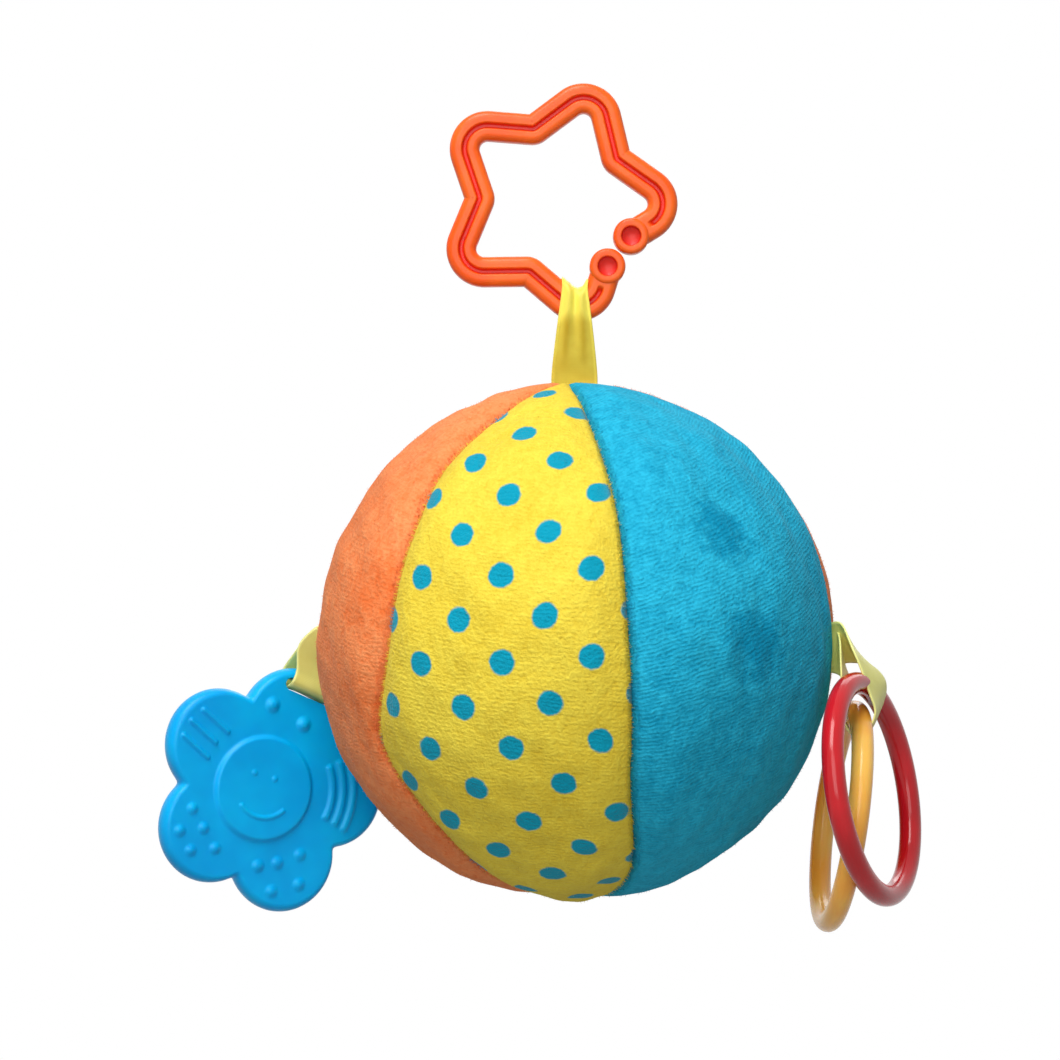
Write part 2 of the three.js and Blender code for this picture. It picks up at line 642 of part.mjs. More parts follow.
// The flower hangs by its rim beside the left seam, moved out until it clears the ball.
const leftRoot = seamRoot(-2);
const flower = node("flower_teether", flowerTeether(), FLOWER_PLASTIC);
flower.rotation.z = rad(FLOWER_YAW);
const turnedRim = new THREE.Vector3(rimMiddle.x, 0, rimMiddle.y).applyEuler(flower.rotation);
const rimPlace = leftRoot.point
  .clone()
  .addScaledVector(leftRoot.out, FLOWER_REACH)
  .addScaledVector(leftRoot.round, FLOWER_SIDE)
  .addScaledVector(UP, -FLOWER_DROP);
flower.position.copy(rimPlace).sub(turnedRim);
flower.updateMatrixWorld();
const flowerPoints = Array.from({ length: PETALS * ROUND_SIDES }, (_, i) => {
  const p = petalCentre(Math.floor(i / ROUND_SIDES)).add(starPoint(PETAL_RADIUS, (i * 360) / ROUND_SIDES));
  return [-1, 1].map((side) => new THREE.Vector3(p.x, (side * FLOWER_THICKNESS) / 2, p.y));
}).flat();
const flowerWorld = flowerPoints.map((p) => p.applyMatrix4(flower.matrixWorld));
const flowerMove = moveToClear(flowerWorld, leftRoot.out, BALL_RADIUS + REST_GAP);
flower.position.addScaledVector(leftRoot.out, flowerMove);
rimPlace.addScaledVector(leftRoot.out, flowerMove);

const petalOut = turnedRim.clone().normalize();
const rimAlong = petalOut.clone().cross(new THREE.Vector3(0, 1, 0).applyEuler(flower.rotation)).normalize();
const leftRibbon = node(
  "left_ribbon",
  ribbonLoop({
    curve: new THREE.QuadraticBezierCurve3(
      leftRoot.point,
      rimPlace.clone().addScaledVector(petalOut, LEFT_SHOULDER),
      rimPlace.clone().addScaledVector(petalOut, -FLOWER_FOLD_DROP),
    ),
    rootWidth: leftRoot.down,
    foldWidth: rimAlong.z < 0 ? rimAlong : rimAlong.clone().negate(),
    bulge: LEFT_LOOP_BULGE,
    edges: evenEdges,
  }),
  SATIN,
);

// Teething rings

// A ring's directions: level along the wire where it hangs, and up across the ring to that place.
function ringAxes(lean, yaw) {
  const level = new THREE.Vector3(Math.sin(rad(yaw)), Math.cos(rad(yaw)), 0);
  const outward = new THREE.Vector3(Math.cos(rad(yaw)), -Math.sin(rad(yaw)), 0);
  const up = UP.clone().multiplyScalar(Math.cos(rad(lean))).addScaledVector(outward, -Math.sin(rad(lean)));
  return { level, up };
}

// A ring placed by the point where its wire lies in the ribbon, a given angle round from its top.
function hangRing(mesh, grip, lean, yaw, slide) {
  const { level, up } = ringAxes(lean, yaw);
  mesh.quaternion.setFromRotationMatrix(new THREE.Matrix4().makeBasis(level, up, level.clone().cross(up)));
  const toGrip = up.clone().multiplyScalar(Math.cos(rad(slide))).addScaledVector(level, Math.sin(rad(slide)));
  mesh.position.copy(grip).addScaledVector(toGrip, -RING_RADIUS);
  mesh.updateMatrixWorld();
  return Array.from({ length: RING_SIDES }, (_, i) => {
    const p = starPoint(RING_RADIUS, i * 360 / RING_SIDES);
    return new THREE.Vector3(p.x, p.y, 0).applyMatrix4(mesh.matrixWorld);
  });
}

const rightRoot = seamRoot(1);
const torus = () => new THREE.TorusGeometry(RING_RADIUS, WIRE_RADIUS, WIRE_SIDES, RING_SIDES);
const redRing = node("red_ring", torus(), RED_PLASTIC);
const amberRing = node("amber_ring", torus(), AMBER_PLASTIC);
const ringPlace = (reach, drop) =>
  rightRoot.point
    .clone()
    .addScaledVector(rightRoot.out, reach)
    .addScaledVector(rightRoot.round, RING_SIDE)
    .addScaledVector(UP, -drop);
const amberGrip = ringPlace(AMBER_REACH, AMBER_DROP);
const redGrip = ringPlace(RED_REACH, AMBER_DROP - WIRE_DIAMETER - RING_STEP_GAP);
const ringPoints = [
  ...hangRing(redRing, redGrip, RED_LEAN, RED_YAW, RED_SLIDE),
  ...hangRing(amberRing, amberGrip, AMBER_LEAN, AMBER_YAW, AMBER_SLIDE),
];
const ringMove = moveToClear(ringPoints, rightRoot.out, BALL_RADIUS + WIRE_RADIUS + REST_GAP);
for (const place of [redRing.position, amberRing.position, redGrip, amberGrip]) {
  place.addScaledVector(rightRoot.out, ringMove);
}

const rightFold = amberGrip.clone().addScaledVector(UP, -RIGHT_FOLD_DROP);
const rightShoulder = rightRoot.point
  .clone()
  .addScaledVector(rightRoot.out, RIGHT_SHOULDER_REACH + ringMove)
  .addScaledVector(rightRoot.round, RING_SIDE / 2)
  .addScaledVector(UP, RIGHT_SHOULDER_RISE);
const rightRibbon = node(
  "right_ribbon",
  ribbonLoop({
    curve: new THREE.QuadraticBezierCurve3(rightRoot.point, rightShoulder, rightFold),
    rootWidth: rightRoot.down,
    foldWidth: ringAxes(0, RIGHT_FOLD_YAW).level,
    bulge: RIGHT_LOOP_BULGE,
    edges: evenEdges,
  }),
  SATIN,
);

// Hinge lines of the moving pieces, as a point and a direction
star.userData.hinge = [starCentre.clone().add(new THREE.Vector3(bottomBar.x, 0, bottomBar.y)), RIGHT];
leftRibbon.userData.hinge = [leftRoot.top, leftRoot.round.clone().negate()];
flower.userData.hinge = [rimPlace, rimAlong];
rightRibbon.userData.hinge = [rightRoot.top, rightRoot.round.clone().negate()];
redRing.userData.hinge = [redGrip, ringAxes(RED_LEAN, RED_YAW).level];

const toy = new THREE.Group();
toy.add(star, topRibbon, ball, rattle, leftRibbon, flower, rightRibbon, redRing, amberRing);
toy.position.copy(hangPoint).negate();

export default toy;
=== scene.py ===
"""Looks of a plush teether ball that hangs from a star link by a satin ribbon.

Shapes are worked out in millimetres from the ball's centre, +X right, +Y back, +Z up, and go into their
meshes in metres in the shared frame, so every object sits at the origin.
"""

import logging
import math
from dataclasses import dataclass, field
from enum import Enum
from typing import Any, Optional

import bmesh
import bpy
import numpy as np
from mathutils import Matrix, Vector


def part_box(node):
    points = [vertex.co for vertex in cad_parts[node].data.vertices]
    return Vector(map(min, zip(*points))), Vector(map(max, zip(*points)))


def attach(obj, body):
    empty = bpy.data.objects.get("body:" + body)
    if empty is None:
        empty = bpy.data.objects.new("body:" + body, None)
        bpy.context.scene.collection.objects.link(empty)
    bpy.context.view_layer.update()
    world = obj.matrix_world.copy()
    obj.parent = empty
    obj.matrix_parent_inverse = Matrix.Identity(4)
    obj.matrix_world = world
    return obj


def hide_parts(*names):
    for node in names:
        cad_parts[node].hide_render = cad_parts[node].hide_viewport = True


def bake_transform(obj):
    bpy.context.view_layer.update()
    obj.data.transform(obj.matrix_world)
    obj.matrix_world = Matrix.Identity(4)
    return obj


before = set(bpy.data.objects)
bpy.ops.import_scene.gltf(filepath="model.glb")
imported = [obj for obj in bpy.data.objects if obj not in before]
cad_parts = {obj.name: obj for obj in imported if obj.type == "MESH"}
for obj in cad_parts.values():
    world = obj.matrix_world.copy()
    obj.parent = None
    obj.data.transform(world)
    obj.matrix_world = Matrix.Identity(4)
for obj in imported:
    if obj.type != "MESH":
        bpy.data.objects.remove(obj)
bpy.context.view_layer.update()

log = logging.getLogger("teether_ball")
Array = np.ndarray
MM = 0.001
FABRIC_UNIT = 100.0
WELD_REACH = 1e-7


def ball_centre() -> Array:
    """The ball's centre in the shared frame, in millimetres: the middle of the rattle capsule's two halves.

    Returns:
        The centre as three numbers.
    """
    low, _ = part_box("rattle_shell_lower")
    _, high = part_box("rattle_shell_upper")
    return (np.array(low) + np.array(high)) / 2 / MM


CENTRE = ball_centre()


def to_frame(points: Array) -> Array:
    """Ball-centred millimetres as metres in the shared frame: the points plus the centre, scaled."""
    return (points + CENTRE) * MM


def unit(vectors: Array) -> Array:
    """Each vector divided by its length."""
    return vectors / np.linalg.norm(vectors, axis=-1, keepdims=True)


def ease(values: Array, low: float, high: float) -> Array:
    """Zero below low, one above high and a smooth step between them."""
    share = np.clip((values - low) / (high - low), 0, 1)
    return share * share * (3 - 2 * share)


def ripple(points: Array, size: float, seed: int, waves: int = 14) -> Array:
    """Soft unevenness: the mean of sine waves of about one length that run in seeded directions.

    Args:
        points: Places, with three numbers on the last axis.
        size: The waves' length in the points' unit.
        seed: Picks the directions and phases.
        waves: How many waves are added.

    Returns:
        A value near -1 to 1 at each place.
    """
    source = np.random.default_rng(seed)
    turns = unit(source.normal(size=(waves, 3))) * source.uniform(0.7, 1.4, (waves, 1))
    phase = source.uniform(0, 2 * np.pi, waves)
    total = np.sin(points @ (turns.T * 2 * np.pi / size) + phase).sum(-1)
    return total / math.sqrt(waves)


def colour(code: str) -> tuple[float, float, float, float]:
    """A six-digit display colour as linear light with full opacity.

    Args:
        code: The colour's six hexadecimal digits.

    Returns:
        Red, green, blue and one.
    """
    parts = np.array([int(code[i:i + 2], 16) for i in (0, 2, 4)]) / 255
    linear = np.where(parts <= 0.04045, parts / 12.92, ((parts + 0.055) / 1.055) ** 2.4)
    return (*(float(v) for v in linear), 1.0)


# Meshes


@dataclass
class Surface:
    """Points and quads of one closed form, with a fabric place and a depth for each point."""

    points: Array
    quads: Array
    fabric: Optional[Array] = None
    depth: Optional[Array] = None

    def outward(self) -> "Surface":
        """Turns the faces round if the form's signed volume, the sum of its faces' cones, is below zero."""
        corner = self.points[self.quads] - self.points.mean(0)
        first = np.cross(corner[:, 1], corner[:, 2])
        second = np.cross(corner[:, 2], corner[:, 3])
        volume = (corner[:, 0] * (first + second)).sum()
        if volume < 0:
            self.quads = self.quads[:, ::-1]
        return self


def grid_quads(rows: int, columns: int, wrap: bool = False) -> Array:
    """The quads of a grid of points numbered row by row.

    Args:
        rows: Rows of points.
        columns: Points in a row.
        wrap: Whether each row's last point joins its first.

    Returns:
        Four point numbers for each quad.
    """
    across = np.arange(columns if wrap else columns - 1)
    row = np.arange(rows - 1)[:, None] * columns
    here, there = row + across, row + (across + 1) % columns
    return np.stack([here, there, there + columns, here + columns], -1).reshape(-1, 4)


def shell(outer: Array, inner: Array, fabric: Array, depth: Optional[Array] = None) -> Surface:
    """A closed form between two grids, with a wall along their four edges.

    Args:
        outer: Rows by columns of points on one side.
        inner: The same on the other side.
        fabric: Rows by columns of fabric places, used on both sides.
        depth: Rows by columns of depths, used on both sides.

    Returns:
        The closed surface.
    """
    rows, columns = outer.shape[:2]
    half = rows * columns
    number = np.arange(half).reshape(rows, columns)
    quads = grid_quads(rows, columns)
    rim = np.concatenate([number[0], number[1:, -1], number[-1, -2::-1], number[-2:0:-1, 0]])
    after = np.roll(rim, -1)
    walls = np.stack([after, rim, rim + half, after + half], -1)
    both = np.concatenate([quads, quads[:, ::-1] + half, walls])
    deep = None if depth is None else np.tile(depth.ravel(), 2)
    points = np.concatenate([outer.reshape(-1, 3), inner.reshape(-1, 3)])
    return Surface(points, both, np.tile(fabric.reshape(-1, 2), (2, 1)), deep).outward()


def hose(sections: Array, depth: Optional[Array] = None) -> Surface:
    """A tube through closed sections whose first and last sections are drawn together to points.

    Args:
        sections: Sections by points round each one.
        depth: The same grid of depths.

    Returns:
        The closed surface.
    """
    ends = [np.broadcast_to(s.mean(0), s.shape) for s in (sections[0], sections[-1])]
    whole = np.concatenate([ends[0][None], sections, ends[1][None]])
    rows, columns = whole.shape[:2]
    deep = None
    if depth is not None:
        deep = np.concatenate([depth[:1], depth, depth[-1:]]).ravel()
    return Surface(whole.reshape(-1, 3), grid_quads(rows, columns, True), None, deep).outward()


def turned(profile: Array, sides: int, depth: Optional[Array] = None) -> Surface:
    """A profile of radius and height turned about the Y axis; it starts and ends on the axis.

    Args:
        profile: Radius and height pairs.
        sides: Points round the axis.
        depth: A depth for each pair.

    Returns:
        The closed surface.
    """
    angle = np.arange(sides) * 2 * np.pi / sides
    radius, height = profile[:, :1], profile[:, 1:]
    level = np.broadcast_to(height, (len(profile), sides))
    points = np.stack([radius * np.cos(angle), level, radius * np.sin(angle)], -1)
    deep = None if depth is None else np.repeat(depth, sides)
    return Surface(points.reshape(-1, 3), grid_quads(len(profile), sides, True), None, deep).outward()


def make_piece(name: str, surfaces: list[Surface], material: bpy.types.Material) -> bpy.types.Object:
    """One smooth object from closed surfaces, in the shared frame, with doubled points joined.

    Args:
        name: The object's name.
        surfaces: The forms that it is made of, in ball-centred millimetres.
        material: Its finish.

    Returns:
        The object, at the origin.
    """
    counts = np.cumsum([0] + [len(s.points) for s in surfaces])
    points = to_frame(np.concatenate([s.points for s in surfaces])).astype(np.float32)
    quads = np.concatenate([s.quads + start for s, start in zip(surfaces, counts)]).astype(np.int32)
    fabric = [np.zeros((len(s.points), 2)) if s.fabric is None else s.fabric for s in surfaces]
    depth = [np.zeros(len(s.points)) if s.depth is None else s.depth for s in surfaces]
    mesh = bpy.data.meshes.new(name)
    mesh.vertices.add(len(points))
    mesh.vertices.foreach_set("co", points.ravel())
    mesh.loops.add(quads.size)
    mesh.loops.foreach_set("vertex_index", quads.ravel())
    mesh.polygons.add(len(quads))
    mesh.polygons.foreach_set("loop_start", np.arange(0, quads.size, 4, dtype=np.int32))
    mesh.update(calc_edges=True)
    places = np.concatenate(fabric)[quads.ravel()] / FABRIC_UNIT
    mesh.uv_layers.new(name="fabric").data.foreach_set("uv", places.astype(np.float32).ravel())
    deep = mesh.attributes.new("depth", "FLOAT", "POINT")
    deep.data.foreach_set("value", np.concatenate(depth).astype(np.float32))
    work = bmesh.new()
    work.from_mesh(mesh)
    bmesh.ops.remove_doubles(work, verts=work.verts, dist=WELD_REACH)
    work.to_mesh(mesh)
    work.free()
    mesh.polygons.foreach_set("use_smooth", np.ones(len(mesh.polygons), bool))
    mesh.materials.append(material)
    made = bpy.data.objects.new(name, mesh)
    bpy.context.scene.collection.objects.link(made)
    log.info("%s: %d faces", name, len(mesh.polygons))
    return made


# Shader values


class Wire:
    """A shader output that takes part in plain arithmetic, each operation adding its Math node."""

    def __init__(self, graph: "Graph", socket: bpy.types.NodeSocket) -> None:
        """Keeps the graph and the output socket."""
        self.graph = graph
        self.socket = socket

    def _math(self, operation: str, first: Any, second: Any) -> "Wire":
        """One Math node on two values or wires."""
        return self.graph.node("ShaderNodeMath", {"operation": operation}, {0: first, 1: second})

    def __add__(self, other: Any) -> "Wire":
        """The sum."""
        return self._math("ADD", self, other)

    def __radd__(self, other: Any) -> "Wire":
        """The sum, with the wire second."""
        return self._math("ADD", other, self)

    def __sub__(self, other: Any) -> "Wire":
        """The difference."""
        return self._math("SUBTRACT", self, other)

    def __rsub__(self, other: Any) -> "Wire":
        """The difference, with the wire second."""
        return self._math("SUBTRACT", other, self)

    def __mul__(self, other: Any) -> "Wire":
        """The product."""
        return self._math("MULTIPLY", self, other)

    def __rmul__(self, other: Any) -> "Wire":
        """The product, with the wire second."""
        return self._math("MULTIPLY", other, self)


class Graph:
    """The nodes of a material or a world."""

    def __init__(self, owner: bpy.types.ID, shader: str = "Principled BSDF") -> None:
        """Takes the owner's nodes, with its shader ready for values."""
        owner.use_nodes = True
        self.owner = owner
        self.tree = owner.node_tree
        self.shader = self.tree.nodes[shader]

    def node(
        self, kind: str, settings: Optional[dict] = None, inputs: Optional[dict] = None, output: Any = 0,
    ) -> Wire:
        """Any node, with its settings made first and then its sockets filled.

        Args:
            kind: The node's type.
            settings: Attribute values.
            inputs: Values or wires by socket name or number.
            output: The output socket that is wanted.

        Returns:
            That output as a wire.
        """
        made = self.tree.nodes.new(kind)
        for key, value in (settings or {}).items():
            setattr(made, key, value)
        for key, value in (inputs or {}).items():
            self.feed(made.inputs[key], value)
        return Wire(self, made.outputs[output])

    def feed(self, socket: bpy.types.NodeSocket, value: Any) -> None:
        """Links a wire to a socket, or sets a plain value on it."""
        if isinstance(value, Wire):
            self.tree.links.new(value.socket, socket)
        else:
            socket.default_value = value

    def set(self, **values: Any) -> None:
        """Feeds the shader's sockets, named with _ for each space."""
        for key, value in values.items():
            self.feed(self.shader.inputs[key.replace("_", " ")], value)

    def place(self) -> Wire:
        """Object coordinates."""
        return self.node("ShaderNodeTexCoord", output="Object")

    def fabric(self) -> tuple[Wire, Wire]:
        """The fabric place in millimetres, across and along."""
        flat = self.node("ShaderNodeUVMap", {"uv_map": "fabric"})
        across = self.node("ShaderNodeSeparateXYZ", None, {0: flat}, 0)
        along = self.node("ShaderNodeSeparateXYZ", None, {0: flat}, 1)
        return across * FABRIC_UNIT, along * FABRIC_UNIT

    def depth(self) -> Wire:
        """The depth kept on the mesh, which weights painted shade, and painted highlight where it is below
        zero.
        """
        return self.node("ShaderNodeAttribute", {"attribute_name": "depth"}, None, "Fac")

    def grain(self, where: Wire, size: float, detail: float = 2.0, rough: float = 0.55) -> Wire:
        """Noise from 0 to 1 whose features have a size in metres."""
        sockets = {"Vector": where, "Scale": 1 / size, "Detail": detail, "Roughness": rough}
        return self.node("ShaderNodeTexNoise", {"noise_dimensions": "3D"}, sockets, 0)

    def step(self, value: Any, low: float, high: float) -> Wire:
        """A smooth step from 0 at low to 1 at high."""
        sockets = {"Value": value, "From Min": low, "From Max": high}
        return self.node("ShaderNodeMapRange", {"interpolation_type": "SMOOTHSTEP"}, sockets, 0)

    def mix(self, share: Any, first: Any, second: Any) -> Wire:
        """A colour between two colours."""
        return self.node("ShaderNodeMix", {"data_type": "RGBA"}, {0: share, 6: first, 7: second}, 2)

    def one(self, operation: str, value: Any) -> Wire:
        """A Math operation on one value."""
        return self.node("ShaderNodeMath", {"operation": operation}, {0: value})

    def least(self, first: Wire, second: Wire) -> Wire:
        """The lesser of two values."""
        return self.node("ShaderNodeMath", {"operation": "MINIMUM"}, {0: first, 1: second})

    def most(self, first: Wire, second: Wire) -> Wire:
        """The greater of two values."""
        return self.node("ShaderNodeMath", {"operation": "MAXIMUM"}, {0: first, 1: second})

    def wave(self, value: Wire, pitch: float) -> Wire:
        """A sine wave from 0 to 1, one turn for each pitch."""
        return self.one("SINE", value * (2 * math.pi / pitch)) * 0.5 + 0.5

    def bump(self, height: Wire, rise: float, strength: float) -> None:
        """Feeds a height through a Bump node to the shader's normal."""
        sockets = {"Height": height, "Distance": rise, "Strength": strength}
        self.set(Normal=self.node("ShaderNodeBump", None, sockets, 0))


# Finishes


@dataclass(frozen=True)
class DotPrint:
    """Round dots printed in staggered rows: two even lattices, one moved half a pitch both ways."""

    ink: str = "009CBA"
    diameter: float = 6.2
    pitch_across: float = 21.6
    pitch_along: float = 20.9
    turn: float = 2.6
    across: float = 2.0
    along: float = 5.0
    edge_soft: float = 0.35
    edge_stray: float = 1.1

    def mask(self, graph: Graph, across: Wire, along: Wire, stray: Wire) -> Wire:
        """One inside a dot, by the distance to the nearest lattice point.

        Args:
            graph: The material's nodes.
            across: Fabric place across, in millimetres.
            along: Fabric place along, in millimetres.
            stray: Noise that makes the dots' edges soft.

        Returns:
            The mask.
        """
        cos, sin = math.cos(math.radians(self.turn)), math.sin(math.radians(self.turn))
        a = ((across - self.across) * cos + (along - self.along) * sin) * (1 / self.pitch_across)
        b = ((along - self.along) * cos - (across - self.across) * sin) * (1 / self.pitch_along)
        spans = []
        for shift in (0.5, 1.0):
            da = (graph.one("FRACT", a + shift) - 0.5) * self.pitch_across
            db = (graph.one("FRACT", b + shift) - 0.5) * self.pitch_along
            spans.append(graph.one("SQRT", da * da + db * db))
        span = graph.least(*spans) + (stray - 0.5) * self.edge_stray
        radius = self.diameter / 2
        return 1 - graph.step(span, radius - self.edge_soft, radius + self.edge_soft)


@dataclass(frozen=True)
class Brushed:
    """A soft patch where the pile was stroked the other way, round a place on the ball."""

    place: tuple[float, float, float]
    radius: float
    strength: float


@dataclass(frozen=True)
class Plush:
    """Short brushed pile: clumped fibres, knitted rows, stroked patches, painted shade along the seams and a
    velvet sheen.
    """

    name: str
    light: str
    dark: str
    seam_shade: str
    sheen: str
    rows: float = 0.5
    row_pitch: float = 1.05
    slant: float = 0.12
    clumps: float = 1.0
    broad_size: float = 0.022
    clump_size: float = 0.0026
    fibre_size: float = 0.0008
    wobble_size: float = 0.006
    velvet: float = 0.16
    patches: tuple[Brushed, ...] = ()
    dots: Optional[DotPrint] = None

    def material(self) -> bpy.types.Material:
        """The material, dark to light by clumps, rows and patches, with the dots on top and painted shade
        along the seams.
        """
        graph = Graph(bpy.data.materials.new(self.name))
        place = graph.place()
        across, along = graph.fabric()
        broad = graph.grain(place, self.broad_size, 3.0)
        clump = graph.grain(place, self.clump_size, 3.0, 0.65)
        fibre = graph.grain(place, self.fibre_size, 2.0)
        wobble = graph.grain(place, self.wobble_size)
        rows = graph.wave(along + across * self.slant + wobble * 2.2, self.row_pitch)
        tone = 0.55 + (broad - 0.5) * 0.5 + (clump - 0.5) * (0.75 * self.clumps)
        tone = tone + (fibre - 0.5) * 0.7 + (rows - 0.5) * (0.2 * self.rows)
        for patch in self.patches:
            centre = tuple(to_frame(np.array(patch.place)).tolist())
            sockets = {0: place, 1: centre}
            span = graph.node("ShaderNodeVectorMath", {"operation": "DISTANCE"}, sockets, "Value")
            ragged = span + (wobble - 0.5) * 0.010 + (clump - 0.5) * 0.005
            away = graph.step(ragged, patch.radius * 0.2 * MM, patch.radius * MM)
            tone = tone - (1 - away) * patch.strength
        tint = graph.mix(graph.step(tone, 0.0, 1.0), colour(self.dark), colour(self.light))
        if self.dots is not None:
            mask = self.dots.mask(graph, across, along, clump)
            tint = graph.mix(mask, tint, colour(self.dots.ink))
        # Painted shade: the seam colour darkens the pile by the seams' nearness, kept on the mesh as depth.
        tint = graph.mix(graph.depth() * 0.55, tint, colour(self.seam_shade))
        graph.set(Base_Color=tint, Roughness=0.9, Specular_IOR_Level=0.15)
        graph.set(Sheen_Weight=self.velvet, Sheen_Roughness=0.45, Sheen_Tint=colour(self.sheen))
        graph.bump(clump * 0.75 + fibre * 0.5 + rows * (0.18 * self.rows), 0.0009, 0.7)
        return graph.owner


@dataclass(frozen=True)
class Satin:
    """Woven satin ribbon: fine threads along its length, a firm edge and a bright lengthwise gloss."""

    name: str
    light: str
    dark: str
    half_width: float
    thread_pitch: float = 0.28
    pick_pitch: float = 0.4

    def material(self) -> bpy.types.Material:
        """The material, with thread lines from the fabric places, a paler selvage, and painted shade and
        highlight by the depth kept on the mesh.
        """
        graph = Graph(bpy.data.materials.new(self.name))
        across, along = graph.fabric()
        threads = graph.wave(across, self.thread_pitch)
        picks = graph.wave(along, self.pick_pitch)
        cloud = graph.grain(graph.place(), 0.004, 2.0)
        edge = graph.step(graph.one("ABSOLUTE", across), self.half_width - 1.1, self.half_width - 0.5)
        # Painted shade where the depth is above zero, painted highlight where it is below zero.
        tone = 0.42 + cloud * 0.4 + threads * 0.1 + edge * 0.25 - graph.depth() * 0.75
        graph.set(Base_Color=graph.mix(tone, colour(self.dark), colour(self.light)))
        graph.set(Roughness=0.36 + cloud * 0.12, Anisotropic=0.5, Specular_IOR_Level=0.45)
        graph.set(Sheen_Weight=0.12, Sheen_Roughness=0.3)
        graph.bump(threads * 0.5 + picks * 0.3 + edge * 0.8, 0.00008, 0.6)
        return graph.owner


@dataclass(frozen=True)
class Moulded:
    """Moulded plastic: cloudy colour, painted shade as a deeper colour in its hollows, and a gloss that
    varies a little.
    """

    name: str
    light: str
    dark: str
    # The colour of the painted shade in hollows.
    deep: str
    rough: float = 0.3
    glow: float = 0.0
    specular: float = 0.3
    coat: float = 0.1
    dimpling: float = 0.3

    def material(self) -> bpy.types.Material:
        """The material, with painted shade in its hollows by the depth kept on the mesh."""
        graph = Graph(bpy.data.materials.new(self.name))
        place = graph.place()
        cloud = graph.grain(place, 0.014, 2.0)
        fine = graph.grain(place, 0.0012, 2.0)
        tint = graph.mix(graph.step(cloud, 0.25, 0.75), colour(self.dark), colour(self.light))
        # Painted shade: the deep colour is laid into hollows by the depth kept on the mesh.
        graph.set(Base_Color=graph.mix(graph.depth(), tint, colour(self.deep)))
        graph.set(Roughness=self.rough + (fine - 0.5) * 0.12, Specular_IOR_Level=self.specular)
        graph.set(Coat_Weight=self.coat, Coat_Roughness=0.12)
        if self.glow:
            graph.set(Subsurface_Weight=self.glow, Subsurface_Scale=0.004)
            graph.set(Subsurface_Radius=tuple(colour(self.light)[:3]))
        graph.bump(cloud * 0.6 + fine * 0.1, 0.0004, self.dimpling)
        return graph.owner


@dataclass(frozen=True)
class Wadding:
    """Loose white fibre filling."""

    name: str
    light: str = "F6F3EC"
    dark: str = "D5D0C6"

    def material(self) -> bpy.types.Material:
        """The material, tangled by two sizes of noise."""
        graph = Graph(bpy.data.materials.new(self.name))
        place = graph.place()
        tuft = graph.grain(place, 0.006, 4.0, 0.7)
        fibre = graph.grain(place, 0.0012, 3.0)
        graph.set(Base_Color=graph.mix(tuft * 0.7 + fibre * 0.3, colour(self.dark), colour(self.light)))
        graph.set(Roughness=0.95, Sheen_Weight=0.3)
        graph.bump(tuft * 0.7 + fibre * 0.4, 0.002, 0.8)
        return graph.owner


# Ball


class GoreColour(Enum):
    """The three fabrics that go round the ball."""

    ORANGE = "orange"
    DOTTED = "dotted"
    TURQUOISE = "turquoise"


# Each plush's colours are light, dark, the painted shade along its seams, and its sheen.
PLUSHES = {
    GoreColour.ORANGE: Plush(
        "orange plush", "FFA066", "F07234", "C0501E", "FFC8A8", rows=0.3, clumps=1.2,
        patches=(
            Brushed((-50.0, -38.0, 12.0), 16.0, 0.22),
            Brushed((-53.0, -36.0, -14.0), 14.0, 0.18),
        ),
    ),
    GoreColour.DOTTED: Plush(
        "dotted plush", "F8E250", "E2C030", "B48E22", "FFF3B0", rows=0.3, clumps=1.0, dots=DotPrint(),
    ),
    GoreColour.TURQUOISE: Plush(
        "turquoise plush", "2EC2E6", "008EB6", "085E7A", "60D4F0",
        rows=0.6, slant=-0.22, clumps=1.2, velvet=0.22,
        patches=(
            Brushed((35.0, -47.0, 28.2), 11.0, 0.5),
            Brushed((42.0, -49.0, 1.3), 13.0, 0.45),
        ),
    ),
}


